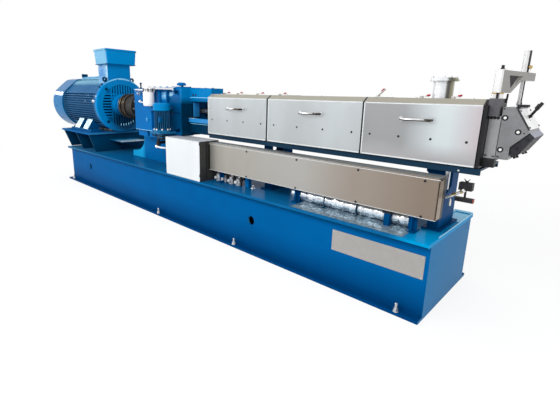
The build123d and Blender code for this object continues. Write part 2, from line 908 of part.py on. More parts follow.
# Lubrication pump: shelf, finned motor, rounded cap and gear pump below
with BuildPart() as lube_pump:
    pump_y = -(gear_half + pump_reach)
    pump_body_bottom = axis_height - pump_body_drop
    with BuildSketch(Plane.XY.offset(pump_body_bottom - 2 * pump_shelf)):
        with Locations((pump_x, (pump_y - pump_flange_radius - gear_half) / 2)):
            Rectangle(2 * pump_flange_radius, pump_reach + pump_flange_radius)
    extrude(amount=pump_shelf)
    with BuildSketch(Plane.XY.offset(pump_body_bottom - pump_shelf)):
        with Locations((pump_x, pump_y)):
            Circle(pump_flange_radius)
    extrude(amount=pump_shelf)
    with BuildSketch(Plane.XY.offset(pump_body_bottom)):
        with Locations((pump_x, pump_y)):
            Circle(pump_core_radius)
            with PolarLocations(pump_core_radius, pump_fin_count):
                Rectangle(pump_fin_depth, pump_fin_thickness)
    extrude(amount=pump_body_length)
    with BuildSketch(Plane.XY.offset(pump_body_bottom + pump_body_length)):
        with Locations((pump_x, pump_y)):
            Circle(pump_cap_radius)
    extrude(amount=pump_cap_length)
    fillet(lube_pump.edges().group_by(Axis.Z)[-1], radius=pump_cap_round)
    with BuildSketch(Plane.XY.offset(pump_body_bottom - 2 * pump_shelf)):
        with Locations((pump_x, pump_y)):
            RectangleRounded(pump_foot_length, pump_foot_width, pump_foot_round)
    extrude(amount=-pump_drop)
lube_pump.part.label = "lube_pump"
export_step(lube_pump.part, "parts/lube_pump.step")

# Lantern housing: tube with a tall plate at the gearbox, a window in each side and a front lip
with BuildPart() as lantern_housing:
    lantern_middle = axis_height + (lantern_rise - lantern_drop) / 2
    lantern_height = lantern_rise + lantern_drop
    with BuildSketch(Plane.YZ.offset(gear_end)):
        with Locations((0, lantern_middle)):
            RectangleRounded(2 * lantern_half, lantern_height, lantern_corner)
            Rectangle(
                2 * (lantern_half - lantern_side_wall),
                lantern_height - 2 * lantern_wall,
                mode=Mode.SUBTRACT,
            )
    extrude(amount=lantern_length)
    with BuildSketch(Plane.YZ.offset(gear_end)):
        with Locations((0, (axis_height - lantern_plate_drop + gear_top) / 2)):
            Rectangle(2 * gear_half, gear_top - axis_height + lantern_plate_drop)
        with Locations((0, axis_height)):
            Circle(shaft_hole_radius, mode=Mode.SUBTRACT)
    extrude(amount=lantern_plate)
    with BuildSketch(Plane.YZ.offset(lantern_end)):
        with Locations((0, lantern_middle)):
            Rectangle(2 * (lantern_half - lantern_wall), lantern_height - lantern_wall)
        with Locations((0, axis_height)):
            Circle(shaft_hole_radius, mode=Mode.SUBTRACT)
    extrude(amount=-lantern_wall)
    with BuildSketch(Plane.XZ.offset(lantern_half)):
        with Locations((gear_end + lantern_length / 2, axis_height + (lantern_lip_rise + lantern_rise) / 2)):
            Rectangle(lantern_length, lantern_lip_rise - lantern_rise + 2 * lantern_corner)
    extrude(amount=-lantern_lip)
    with BuildSketch(Plane.XZ.offset(gear_half)):
        window_x = gear_end + (window_start + window_end) / 2
        with Locations((window_x, axis_height + (window_rise - window_drop) / 2)):
            RectangleRounded(window_end - window_start, window_rise + window_drop, window_corner)
    extrude(amount=-2 * gear_half, mode=Mode.SUBTRACT)
lantern_housing.part.label = "lantern_housing"
export_step(lantern_housing.part, "parts/lantern_housing.step")

# Screw couplings that turn inside the lantern
screw_coupling_start = gear_end - screw_engage + screw_end_gap
screw_coupling_length = lantern_length + 2 * (screw_engage - screw_end_gap)
with BuildPart() as screw_coupling_front:
    with BuildSketch(Plane.YZ.offset(screw_coupling_start)):
        with Locations((-screw_spacing / 2, axis_height)):
            Circle(screw_shaft_radius)
    extrude(amount=screw_coupling_length)
screw_coupling_front.part.label = "screw_coupling_front"
export_step(screw_coupling_front.part, "parts/screw_coupling_front.step")

with BuildPart() as screw_coupling_rear:
    mirror(screw_coupling_front.part, about=Plane.XZ)
screw_coupling_rear.part.label = "screw_coupling_rear"
export_step(screw_coupling_rear.part, "parts/screw_coupling_rear.step")

# Row of barrels bolted end to end
with BuildPart() as barrel_row:
    with BuildSketch(Plane.YZ.offset(barrel_start)):
        with Locations((0, axis_height)):
            Rectangle(2 * barrel_half, 2 * barrel_half)
        chamfer(vertices(), length=barrel_chamfer)
    extrude(amount=barrel_end - barrel_start)
    for joint in range(barrel_count + 1):
        rim_x = barrel_start + joint * barrel_length - barrel_rim_length / 2
        rim_x = min(max(rim_x, barrel_start), barrel_end - barrel_rim_length)
        with BuildSketch(Plane.YZ.offset(rim_x)):
            with Locations((0, axis_height)):
                Rectangle(2 * barrel_rim_half, 2 * barrel_rim_half)
        extrude(amount=barrel_rim_length)
    with BuildSketch(Plane.YZ.offset(barrel_start)):
        with Locations((0, axis_height)):
            with GridLocations(screw_spacing, 0, 2, 1):
                Circle(screw_shaft_radius + running_gap)
    extrude(amount=screw_engage, mode=Mode.SUBTRACT)
barrel_row.part.label = "barrel_row"
export_step(barrel_row.part, "parts/barrel_row.step")

# Rail: an inverted channel with saddles that hold the barrel joints
with BuildPart() as process_rail:
    with BuildSketch(Plane.YZ.offset(rail_start)):
        with Locations((0, (rail_bottom + rail_top) / 2)):
            Rectangle(2 * rail_half, rail_thickness)
        with Locations((0, (rail_bottom + rail_top - rail_wall) / 2)):
            Rectangle(2 * (rail_half - rail_wall), rail_thickness - rail_wall, mode=Mode.SUBTRACT)
    extrude(amount=rail_end - rail_start)
    saddle_top = axis_height - barrel_rim_half
    for joint in range(1, barrel_count, 2):
        with BuildSketch(Plane.YZ.offset(barrel_start + joint * barrel_length - saddle_length / 2)):
            with BuildLine():
                Polyline(
                    (-saddle_foot_half, rail_top),
                    (saddle_foot_half, rail_top),
                    (saddle_half, saddle_top),
                    (-saddle_half, saddle_top),
                    close=True,
                )
            make_face()
        extrude(amount=saddle_length)
process_rail.part.label = "process_rail"
export_step(process_rail.part, "parts/process_rail.step")

# Portal supports under the rail, each with a slot and a plate at its foot
with BuildPart() as rail_supports:
    for index, station in enumerate(support_stations):
        support_end = barrel_start + station
        support_start = support_end - support_widths[index]
        flare_tip = support_start - support_flares[index]
        flare_bottom = rail_top - rail_wall - support_flare_heights[index]
        with BuildSketch(Plane.XZ.offset(support_half)):
            with BuildLine():
                Polyline(
                    (support_end, base_height),
                    (support_end, rail_top - rail_wall),
                    (flare_tip, rail_top - rail_wall),
                    (flare_tip, flare_bottom),
                    (support_start, flare_bottom - support_flares[index]),
                    (support_start, base_height),
                    close=True,
                )
            make_face()
        extrude(amount=-2 * support_half)
        with BuildSketch(Plane.YZ.offset(flare_tip)):
            with BuildLine():
                Polyline(
                    (slot_fronts[index], rail_top - slot_head),
                    (slot_rears[index], rail_top - slot_head),
                    (slot_rears[index], rail_top - slot_slant_tops[index]),
                    (slot_fronts[index], rail_top - slot_slant_bottoms[index]),
                    close=True,
                )
            make_face()
        extrude(amount=support_end - flare_tip, mode=Mode.SUBTRACT)
        with BuildSketch(Plane.XY.offset(base_height)):
            with Locations(((support_start + support_end) / 2, 0)):
                Rectangle(
                    support_widths[index] + 2 * support_foot_reach,
                    2 * (support_half + support_foot_reach),
                )
        extrude(amount=support_foot)
rail_supports.part.label = "rail_supports"
export_step(rail_supports.part, "parts/rail_supports.step")

# Hinged covers: panel, shoulder, top strip, end lips and the holes for the probes
for index in range(len(cover_starts)):
    cover_start = cover_starts[index]
    cover_end = cover_ends[index]
    cover_length = cover_end - cover_start
    shoulder_y = -cover_front + cover_shoulder_depth
    with BuildPart() as cover:
        with BuildSketch(Plane.YZ.offset(cover_start)):
            with BuildLine():
                Polyline(
                    (-cover_front, cover_bottom),
                    (-cover_front, cover_shoulder_height),
                    (shoulder_y, cover_top),
                    (cover_hinge_y, cover_top),
                    (cover_hinge_y, cover_top - cover_skin),
                    (shoulder_y, cover_top - cover_skin),
                    (-cover_front + cover_panel, cover_shoulder_height - cover_skin),
                    (-cover_front + cover_panel, cover_bottom),
                    close=True,
                )
            make_face()
        extrude(amount=cover_length)
        for lip_x in (cover_start, cover_end - cover_lip):
            with BuildSketch(Plane.YZ.offset(lip_x)):
                with BuildLine():
                    Polyline(
                        (-cover_front, cover_bottom),
                        (-cover_front, cover_shoulder_height),
                        (shoulder_y, cover_top),
                        (cover_hinge_y, cover_top),
                        (cover_hinge_y, cover_top - cover_lip_depth),
                        (cover_lip_inner, cover_bottom + cover_lip_depth),
                        (cover_lip_inner, cover_bottom),
                        close=True,
                    )
                make_face()
            extrude(amount=cover_lip)
        hole_pitch = cover_length * access_hole_share
        hole_middle = (cover_start + cover_end) / 2
        with BuildSketch(Plane.XZ.offset(cover_front)):
            with Locations((hole_middle, axis_height - access_hole_drop)):
                with GridLocations(hole_pitch, 0, access_holes, 1):
                    Circle(access_hole_radius)
        extrude(amount=-cover_panel, mode=Mode.SUBTRACT)
    cover.part.label = f"cover_{index + 1}"
    export_step(cover.part, f"parts/cover_{index + 1}.step")

    with BuildPart() as handle:
        handle_z = axis_height + handle_rise
        foot_a = (hole_middle - handle_length / 2, -cover_front, handle_z)
        foot_b = (hole_middle + handle_length / 2, -cover_front, handle_z)
        with BuildLine() as bow:
            Spline(
                foot_a,
                (hole_middle - handle_length / 2 + handle_knee, -cover_front - handle_bulge, handle_z),
                (hole_middle, -cover_front - handle_reach, handle_z),
                (hole_middle + handle_length / 2 - handle_knee, -cover_front - handle_bulge, handle_z),
                foot_b,
                tangents=((0, -1, 0), (0, 1, 0)),
            )
        with BuildSketch(Plane(foot_a, x_dir=(1, 0, 0), z_dir=(0, -1, 0))):
            Circle(handle_radius)
        sweep()
    handle.part.label = f"cover_handle_{index + 1}"
    export_step(handle.part, f"parts/cover_handle_{index + 1}.step")

# Fixed casing: the top strip with the vent hole and the rear panel
with BuildPart() as casing_top:
    with BuildSketch(Plane.XY.offset(cover_top - cover_skin)):
        casing_front = cover_hinge_y + cover_joint_gap
        with Locations(((casing_start + casing_end) / 2, (casing_front + rear_half) / 2)):
            Rectangle(casing_end - casing_start, rear_half - casing_front)
        with Locations((vent_x, 0)):
            Circle(vent_radius + vent_hole_gap, mode=Mode.SUBTRACT)
    extrude(amount=cover_skin)
casing_top.part.label = "casing_top"
export_step(casing_top.part, "parts/casing_top.step")

with BuildPart() as casing_rear:
    with BuildSketch(Plane.YZ.offset(casing_start)):
        with BuildLine():
            Polyline(
                (rear_half - rear_panel, cover_top - cover_skin),
                (rear_half, cover_top - cover_skin),
                (rear_half, rail_bottom + rear_panel),
                (rail_half, rail_bottom + rear_panel),
                (rail_half, rail_bottom + 2 * rear_panel),
                (rear_half - rear_panel, rail_bottom + 2 * rear_panel),
                close=True,
            )
        make_face()
    extrude(amount=casing_end - casing_start)
casing_rear.part.label = "casing_rear"
export_step(casing_rear.part, "parts/casing_rear.step")

# Fixed plate around the last barrel that closes the covers at the die end
with BuildPart() as casing_end_plate:
    with BuildSketch(Plane.YZ.offset(casing_end + end_plate_gap)):
        with BuildLine():
            Polyline(
                (-cover_front, cover_bottom),
                (-cover_front, cover_shoulder_height),
                (-cover_front + end_plate_post, cover_shoulder_height),
                (-cover_front + end_plate_post, head_top - end_plate_top_drop),
                (rear_half, head_top - end_plate_top_drop),
                (rear_half, cover_bottom),
                close=True,
            )
        make_face()
        with Locations((0, axis_height)):
            Rectangle(2 * barrel_rim_half, 2 * barrel_rim_half, mode=Mode.SUBTRACT)
    extrude(amount=end_plate_thickness)
casing_end_plate.part.label = "casing_end_plate"
export_step(casing_end_plate.part, "parts/casing_end_plate.step")

# Vent stack: seated pipe, flange and lid with lugs
with BuildPart() as vent_stack:
    vent_bottom = axis_height + barrel_half
    with BuildSketch(Plane.XZ):
        with BuildLine():
            Polyline(
                (vent_x, vent_bottom),
                (vent_x + vent_foot_radius, vent_bottom),
                (vent_x + vent_foot_radius, vent_bottom + vent_foot_height),
                (vent_x + vent_radius, vent_bottom + vent_foot_height),
                (vent_x + vent_radius, vent_height - vent_flange_thickness - vent_lid_thickness),
                (vent_x + vent_flange_radius, vent_height - vent_flange_thickness - vent_lid_thickness),
                (vent_x + vent_flange_radius, vent_height - vent_lid_thickness),
                (vent_x + vent_flange_radius - vent_lid_step, vent_height - vent_lid_thickness),
                (vent_x + vent_flange_radius - vent_lid_step, vent_height),
                (vent_x, vent_height),
                close=True,
            )
        make_face()
    revolve(axis=Axis((vent_x, 0, 0), (0, 0, 1)))
vent_stack.part.label = "vent_stack"
export_step(vent_stack.part, "parts/vent_stack.step")

# Wiring duct with a lid that overhangs, and its feet
with BuildPart() as lower_duct:
    duct_middle = ((duct_start + duct_end) / 2, -duct_front + duct_depth / 2)
    with BuildSketch(Plane.XY.offset(duct_bottom)):
        with Locations(duct_middle):
            RectangleRounded(duct_end - duct_start, duct_depth, duct_corner)
    extrude(amount=duct_top - duct_lid - duct_bottom)
    with BuildSketch(Plane.XY.offset(duct_top - duct_lid)):
        with Locations(duct_middle):
            RectangleRounded(
                duct_end - duct_start + 2 * duct_lid_reach,
                duct_depth + 2 * duct_lid_reach,
                duct_corner,
            )
    extrude(amount=duct_lid)
lower_duct.part.label = "lower_duct"
export_step(lower_duct.part, "parts/lower_duct.step")

with BuildPart() as duct_feet:
    foot_y = -duct_front + duct_depth / 2
    for station in duct_foot_stations:
        foot_x = duct_start + station
        for plate_bottom in (base_height, duct_bottom - duct_foot_plate):
            with BuildSketch(Plane.XY.offset(plate_bottom)):
                with Locations((foot_x, foot_y)):
                    Rectangle(duct_foot_width, duct_foot_depth)
            extrude(amount=duct_foot_plate)
        with BuildSketch(Plane.XY.offset(base_height)):
            with Locations((foot_x, foot_y)):
                Rectangle(duct_foot_width, duct_foot_plate)
                Rectangle(duct_foot_plate, duct_foot_rib)
        extrude(amount=duct_bottom - base_height)
duct_feet.part.label = "duct_feet"
export_step(duct_feet.part, "parts/duct_feet.step")

# Side cabinet beside the lantern
with BuildPart() as side_cabinet:
    with BuildSketch(Plane.XY.offset(base_height)):
        with Locations((cabinet_start + cabinet_length / 2, -cabinet_front + cabinet_depth / 2)):
            RectangleRounded(cabinet_length, cabinet_depth, cabinet_corner)
    extrude(amount=cabinet_top - base_height)
side_cabinet.part.label = "side_cabinet"
export_step(side_cabinet.part, "parts/side_cabinet.step")

# Water valves: a round spindle nut each, with a flat lever along the machine
with BuildPart() as water_valves:
    for index, station in enumerate(valve_stations):
        valve_x = barrel_start + station
        lever_length = valve_lever_lengths[index]
        lever_tail = valve_lever_tails[index]
        lever_tilt = valve_lever_angles[index]
        with BuildSketch(Plane.XY.offset(cover_top)):
            with Locations((valve_x, valve_y)):
                RegularPolygon(valve_body_radius, 6)
        extrude(amount=valve_body_height + valve_lever_thickness)
        lever_plane = Plane(
            (valve_x, valve_y, cover_top + valve_body_height),
            x_dir=(cos(radians(lever_tilt)), 0, sin(radians(lever_tilt))),
            z_dir=(-sin(radians(lever_tilt)), 0, cos(radians(lever_tilt))),
        )
        with BuildSketch(lever_plane):
            with Locations(((lever_length - lever_tail) / 2, 0)):
                RectangleRounded(lever_length + lever_tail, valve_lever_width, valve_lever_width / 3)
        extrude(amount=valve_lever_thickness)
water_valves.part.label = "water_valves"
export_step(water_valves.part, "parts/water_valves.step")

# Screen changer plate, its heater block and the die nose
with BuildPart() as changer_plate:
    with BuildSketch(Plane.YZ.offset(changer_x)):
        with Locations((0, (head_bottom + head_top) / 2)):
            Rectangle(2 * head_half, head_top - head_bottom)
    extrude(amount=changer_thickness)
changer_plate.part.label = "changer_plate"
export_step(changer_plate.part, "parts/changer_plate.step")

with BuildPart() as changer_heater:
    with BuildSketch(Plane.XZ.offset(head_half)):
        with Locations((changer_x + changer_thickness / 2, head_bottom - heater_drop / 2)):
            Rectangle(changer_thickness, heater_drop)
    extrude(amount=-heater_depth)
changer_heater.part.label = "changer_heater"
export_step(changer_heater.part, "parts/changer_heater.step")

with BuildPart() as die_nose:
    with BuildSketch(Plane.XZ.offset(head_half)):
        with BuildLine():
            Polyline(
                (nose_x, head_bottom),
                (nose_x, nose_top),
                (nose_shoulder_x, nose_top),
                (nose_tip_x, nose_tip_z),
                (nose_foot_x, nose_foot_z),
                (nose_foot_x, head_bottom),
                close=True,
            )
        make_face()
    extrude(amount=-2 * head_half)
die_nose.part.label = "die_nose"
export_step(die_nose.part, "parts/die_nose.step")

# Lower die block on the nose's lower slope, deeper at its root than at its tip
with BuildPart() as die_lower_block:
    slope = Vector(nose_tip_x - nose_foot_x, 0, nose_tip_z - nose_foot_z).normalized()
    drop = Vector(slope.Z, 0, -slope.X)
    block_root = Vector(nose_foot_x, 0, nose_foot_z)
    block_tip = Vector(nose_tip_x, 0, nose_tip_z)
    block_tip_low = block_tip + drop * lower_die_tip
    block_root_low = block_root + drop * lower_die_root
    with BuildSketch(Plane.XZ.offset(lower_die_half)):
        with BuildLine():
            Polyline(
                (block_root.X, block_root.Z),
                (block_tip.X, block_tip.Z),
                (block_tip_low.X, block_tip_low.Z),
                (block_root_low.X, block_root_low.Z),
                (block_root.X + lower_die_heel, block_root.Z - lower_die_root),
                close=True,
            )
        make_face()
    extrude(amount=-2 * lower_die_half)
die_lower_block.part.label = "die_lower_block"
export_step(die_lower_block.part, "parts/die_lower_block.step")

# Clamp plate on the nose's upper slope, with its lever
with BuildPart() as clamp_plate:
    fall = Vector(nose_tip_x - nose_shoulder_x, 0, nose_tip_z - nose_top)
    fall_length = fall.length
    fall = fall.normalized()
    lift = Vector(-fall.Z, 0, fall.X)
    slope_middle = Vector((nose_shoulder_x + nose_tip_x) / 2, 0, (nose_top + nose_tip_z) / 2)
    with BuildSketch(Plane(slope_middle, x_dir=fall, z_dir=lift)):
        Rectangle(fall_length - 2 * clamp_margin, 2 * clamp_half)
    extrude(amount=clamp_thickness)
clamp_plate.part.label = "clamp_plate"
export_step(clamp_plate.part, "parts/clamp_plate.step")

with BuildPart() as clamp_lever:
    lever_foot = slope_middle + lift * clamp_thickness - fall * clamp_lever_up
    lever_foot = lever_foot + Vector(0, clamp_lever_y, 0)
    lever_way = Vector(clamp_lever_way)
    with BuildSketch(Plane(lever_foot, z_dir=lift)):
        Circle(clamp_grip_radius)
    extrude(amount=clamp_lever_boss)
    with BuildSketch(Plane(lever_foot + lift * (clamp_lever_boss / 2), z_dir=lever_way)):
        Circle(clamp_lever_radius)
    extrude(amount=clamp_lever_length)
    grip_foot = lever_foot + lift * (clamp_lever_boss / 2) + lever_way.normalized() * clamp_lever_length
    with BuildSketch(Plane(grip_foot, z_dir=-lever_way)):
        Circle(clamp_grip_radius)
    extrude(amount=clamp_grip_length)
clamp_lever.part.label = "clamp_lever"
export_step(clamp_lever.part, "parts/clamp_lever.step")

# Arm base: a block on the changer plate with two columns and the pivot pin
with BuildPart() as arm_base:
    block_middle = (arm_block_x + arm_block_length / 2, -arm_block_front + arm_block_depth / 2)
    with BuildSketch(Plane.XY.offset(head_top)):
        with Locations(block_middle):
            Rectangle(arm_block_length, arm_block_depth)
    extrude(amount=arm_block_top - head_top)
    with BuildSketch(Plane.XY.offset(arm_block_top)):
        with Locations((pivot_x, pivot_y), (pivot_x, pivot_y + column_spacing)):
            Circle(column_radius)
    extrude(amount=arm_bottom - column_gap - arm_block_top)
    with BuildSketch(Plane.XY.offset(arm_block_top)):
        with Locations((pivot_x, pivot_y)):
            Circle(column_radius)
    extrude(amount=arm_bottom - seat_gap - arm_block_top)
    with BuildSketch(Plane.XY.offset(arm_bottom - seat_gap)):
        with Locations((pivot_x, pivot_y)):
            Circle(pivot_radius)
    extrude(amount=pivot_engage)
arm_base.part.label = "arm_base"
export_step(arm_base.part, "parts/arm_base.step")

# Swing arm: a bracket with a triangular window, bored for its pivot and for the rod
with BuildPart() as swing_arm:
    arm_way = Vector(sin(radians(arm_turn)), cos(radians(arm_turn)), 0)
    arm_side = Vector(cos(radians(arm_turn)), -sin(radians(arm_turn)), 0)
    arm_plane = Plane((pivot_x, pivot_y, 0), x_dir=arm_way, z_dir=arm_side)
    bar_bottom = arm_top - arm_bar_height
    head_depth = arm_head_depth - arm_front
    with BuildSketch(arm_plane.offset(-arm_half)):
        with BuildLine():
            Polyline(
                (-arm_front, arm_bottom),
                (-arm_front, arm_top),
                (arm_length, arm_top),
                (arm_length, bar_bottom),
                (arm_brace_end, bar_bottom),
                (head_depth, arm_bottom),
                close=True,
            )
        make_face()
        with BuildLine():
            Polyline(
                (arm_window_start, arm_top - arm_window_margin),
                (arm_window_end, arm_top - arm_window_margin),
                (arm_window_start, arm_bottom + arm_window_lift),
                close=True,
            )
        make_face(mode=Mode.SUBTRACT)
    extrude(amount=2 * arm_half)
    arm_line = Axis((pivot_x, pivot_y, 0), (arm_way.X, arm_way.Y, 0))
    nose_edges = swing_arm.edges().filter_by(Axis.Z).sort_by(arm_line)
    fillet(nose_edges[0:2], radius=arm_nose_radius)
    with BuildSketch(Plane.XY.offset(arm_bottom)):
        with Locations((pivot_x, pivot_y)):
            Circle(pivot_radius + pivot_bore_gap)
    extrude(amount=pivot_engage + pivot_bore_head, mode=Mode.SUBTRACT)
    rod_at = Vector(pivot_x, pivot_y, 0) + arm_way * rod_station
    with BuildSketch(Plane.XY.offset(bar_bottom)):
        with Locations((rod_at.X, rod_at.Y)):
            Circle(rod_radius + seat_gap)
    extrude(amount=arm_bar_height, mode=Mode.SUBTRACT)
swing_arm.part.label = "swing_arm"
export_step(swing_arm.part, "parts/swing_arm.step")

# Lifting rod through the arm, with its sleeve above and a foot below
with BuildPart() as lift_rod:
    rod_bottom = nose_top + rod_clearance
    with BuildSketch(Plane.XY.offset(rod_bottom)):
        with Locations((rod_at.X, rod_at.Y)):
            Circle(rod_foot_radius)
    extrude(amount=rod_foot_height)
    with BuildSketch(Plane.XY.offset(rod_bottom)):
        with Locations((rod_at.X, rod_at.Y)):
            Circle(rod_radius)
    extrude(amount=arm_top - rod_bottom)
    with BuildSketch(Plane.XY.offset(arm_top)):
        with Locations((rod_at.X, rod_at.Y)):
            Circle(rod_sleeve_radius)
    extrude(amount=axis_height + rod_sleeve_rise - arm_top)
lift_rod.part.label = "lift_rod"
export_step(lift_rod.part, "parts/lift_rod.step")

# Drain valve on the die-end support: a climbing pipe, a valve block and an outlet bar
with BuildPart() as drain_valve:
    drain_foot = Vector(barrel_start + support_stations[-1], drain_y, axis_height - drain_drop)
    drain_head = drain_foot + Vector(drain_reach, 0, drain_climb)
    with BuildSketch(Plane.YZ.offset(drain_foot.X)):
        with Locations((drain_y, drain_foot.Z)):
            Circle(drain_pipe_radius)
    with BuildSketch(Plane.YZ.offset(drain_head.X)):
        with Locations((drain_y, drain_head.Z)):
            Circle(drain_pipe_radius)
    loft()
    with BuildSketch(Plane.XY.offset(drain_head.Z)):
        with Locations((drain_head.X, drain_y)):
            Rectangle(drain_block_length, drain_block_width)
    extrude(amount=drain_block_height)
    with BuildSketch(Plane.XY.offset(drain_head.Z)):
        with Locations((drain_head.X, drain_y)):
            Circle(drain_pipe_radius)
    extrude(amount=-drain_bar_drop + drain_bar_height)
    with BuildSketch(Plane.XY.offset(drain_head.Z - drain_bar_drop)):
        with Locations((drain_head.X, drain_y)):
            Rectangle(drain_bar_length, drain_bar_width)
    extrude(amount=drain_bar_height)
drain_valve.part.label = "drain_valve"
export_step(drain_valve.part, "parts/drain_valve.step")
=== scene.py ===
import math
import random

import bmesh
import bpy
from mathutils import Matrix, Vector


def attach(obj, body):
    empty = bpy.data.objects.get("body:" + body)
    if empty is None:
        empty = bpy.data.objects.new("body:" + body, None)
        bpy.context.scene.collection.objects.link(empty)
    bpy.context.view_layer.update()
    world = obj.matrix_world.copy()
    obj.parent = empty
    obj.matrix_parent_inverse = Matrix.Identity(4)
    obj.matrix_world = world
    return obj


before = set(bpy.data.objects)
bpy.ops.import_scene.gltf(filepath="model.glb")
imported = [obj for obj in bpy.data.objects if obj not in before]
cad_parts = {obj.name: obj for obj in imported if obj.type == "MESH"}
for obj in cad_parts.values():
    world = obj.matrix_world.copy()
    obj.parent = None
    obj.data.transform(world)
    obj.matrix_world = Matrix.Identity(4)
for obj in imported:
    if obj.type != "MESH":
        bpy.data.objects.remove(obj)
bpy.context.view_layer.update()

# Names, ways and places that several pieces share, in metres
MACHINE = "machine"
UP, FRONT, ALONG = (0, 0, 1), (0, -1, 0), (1, 0, 0)
AXIS = 1.102            # height of the motor's and the screws' axis
DECK = 0.486            # top of the deck
DECK_SIDE = 0.422       # half the deck's width
DECK_END = 2.6          # half the deck's length
WEB_SIDE = 0.38         # half the width over the base's webs
WELD_SIDE = 0.383       # half the width over the middles of the webs' weld beads
BELL_FACE = -1.66       # face of the motor's end bell
BAR_PITCH = 0.036       # bars across the bell's pockets
POCKET_INNER, POCKET_OUTER = 0.152, 0.272   # radii of the bell's pockets
GEAR_FRONT = -0.272     # front wall of the gearbox
FILTER = (-0.42, -0.33)     # upright axis of the oil filter
PUMP = (-0.112, -0.372)     # upright axis of the oil pump
LANTERN_SIDE = 0.175    # half the lantern's width
COVERS = ((1, 0.441, 1.177), (2, 1.195, 2.019), (3, 2.031, 2.709))  # number, motor end, die end
PROBE_PITCH = 0.28      # share of a cover's length
HEM_OUT, HEM_IN = -0.2228, -0.2215      # outer and inner face of the covers' hems
VENT_X = 2.427          # middle of the vent
FOIL_Y, FOIL_Z = -0.215, 0.538          # axis of the foil-wrapped pipe
DIE_SIDE = 0.162        # half the die head's width
ARM_PIVOT = (2.750, -0.135)             # upright pin of the arm
TURN_WAY = (0.718, 0.696, 0)            # the level way that zones of kind "turn" compare with


# Node helpers

def add(tree, kind, sockets=None, **settings):
    """A node with its settings, and a link or a constant on each named input."""
    made = tree.nodes.new(kind)
    for setting, value in settings.items():
        setattr(made, setting, value)
    for socket, value in (sockets or {}).items():
        if isinstance(value, bpy.types.NodeSocket):
            tree.links.new(value, made.inputs[socket])
        elif value is not None:
            made.inputs[socket].default_value = value
    return made


def shader(name):
    """A new material, its tree, its principled shader and object coordinates."""
    mat = bpy.data.materials.new(name)
    mat.use_nodes = True
    tree = mat.node_tree
    return mat, tree, tree.nodes["Principled BSDF"], add(tree, "ShaderNodeTexCoord").outputs["Object"]


def noise(tree, coords, scale, stretch=(1, 1, 1), detail=3.0, rough=0.55):
    spread = add(tree, "ShaderNodeMapping", {"Scale": stretch, "Vector": coords})
    return add(tree, "ShaderNodeTexNoise", {"Scale": scale, "Detail": detail, "Roughness": rough,
                                            "Vector": spread.outputs["Vector"]}).outputs["Fac"]


def remap(tree, value, low, high, start=0.3, end=0.7):
    return add(tree, "ShaderNodeMapRange", {"From Min": start, "From Max": end, "To Min": low, "To Max": high,
                                            "Value": value}).outputs["Result"]


def blend_colours(tree, factor, first, second):
    first, second = ((*colour, 1) if isinstance(colour, tuple) else colour for colour in (first, second))
    return add(tree, "ShaderNodeMix", {"Factor": factor, "A": first, "B": second},
               data_type="RGBA").outputs["Result"]


def combine(tree, operation, first, second=None):
    return add(tree, "ShaderNodeMath", {0: first, 1: second}, operation=operation).outputs[0]


def measure(tree, coords, kind, centre=None):
    """A place ("X"), the way a face looks ("nX"), its turn about an upright axis ("turn"),
    or how far off it is ("near")."""
    if kind == "near":
        return add(tree, "ShaderNodeVectorMath", {0: coords, 1: centre},
                   operation="DISTANCE").outputs["Value"]
    if kind[0] in "nt":
        coords = add(tree, "ShaderNodeTexCoord").outputs["Normal"]
    if kind == "turn":
        return add(tree, "ShaderNodeVectorMath", {0: coords, 1: TURN_WAY},
                   operation="DOT_PRODUCT").outputs["Value"]
    return add(tree, "ShaderNodeSeparateXYZ", {"Vector": coords}).outputs[kind[-1]]


def clouded(tree, coords, factor, colour, shade, zones):
    """Two shades mixed, then (kind, start, end, colour) zones, each fading in from start to end."""
    base = blend_colours(tree, factor, colour, shade)
    for kind, start, end, tone, *centre in zones:
        size = measure(tree, coords, kind, *centre)
        base = blend_colours(tree, remap(tree, size, 0, 1, start, end), base, tone)
    return base


def dress(tree, surface, base, rough, heights, **constants):
    """Colour, roughness and bump from (height, strength, distance) layers, one under the other."""
    tree.links.new(base, surface.inputs["Base Color"])
    tree.links.new(rough, surface.inputs["Roughness"])
    for socket, value in constants.items():
        surface.inputs[socket].default_value = value
    below = None
    for height, strength, distance in heights:
        below = add(tree, "ShaderNodeBump", {"Strength": strength, "Distance": distance, "Height": height,
                                             "Normal": below}).outputs["Normal"]
    tree.links.new(below, surface.inputs["Normal"])


# Finishes

def gloss_paint(name, colour, shade, gloss=0.14, zones=(), shine=1.08, cloud_scale=2.2):
    """Sprayed enamel: orange peel, slow clouding, fine specks, other shades in its zones."""
    mat, tree, surface, coords = shader(name)
    cloud = remap(tree, noise(tree, coords, cloud_scale, detail=4), 0, 1)
    base = clouded(tree, coords, cloud, colour, shade, zones)
    speck = remap(tree, noise(tree, coords, 70, detail=5, rough=0.7), 0, 0.22, 0.5, 0.8)
    base = blend_colours(tree, speck, base, tuple(c * 0.7 for c in shade))
    wear = remap(tree, noise(tree, coords, 9, detail=4), gloss, gloss + 0.12)
    dress(tree, surface, base, wear, [(noise(tree, coords, 240, detail=2), 0.08, 0.0005),
                                      (noise(tree, coords, 3.0, detail=2), 0.25, 0.004)], IOR=shine)
    return mat


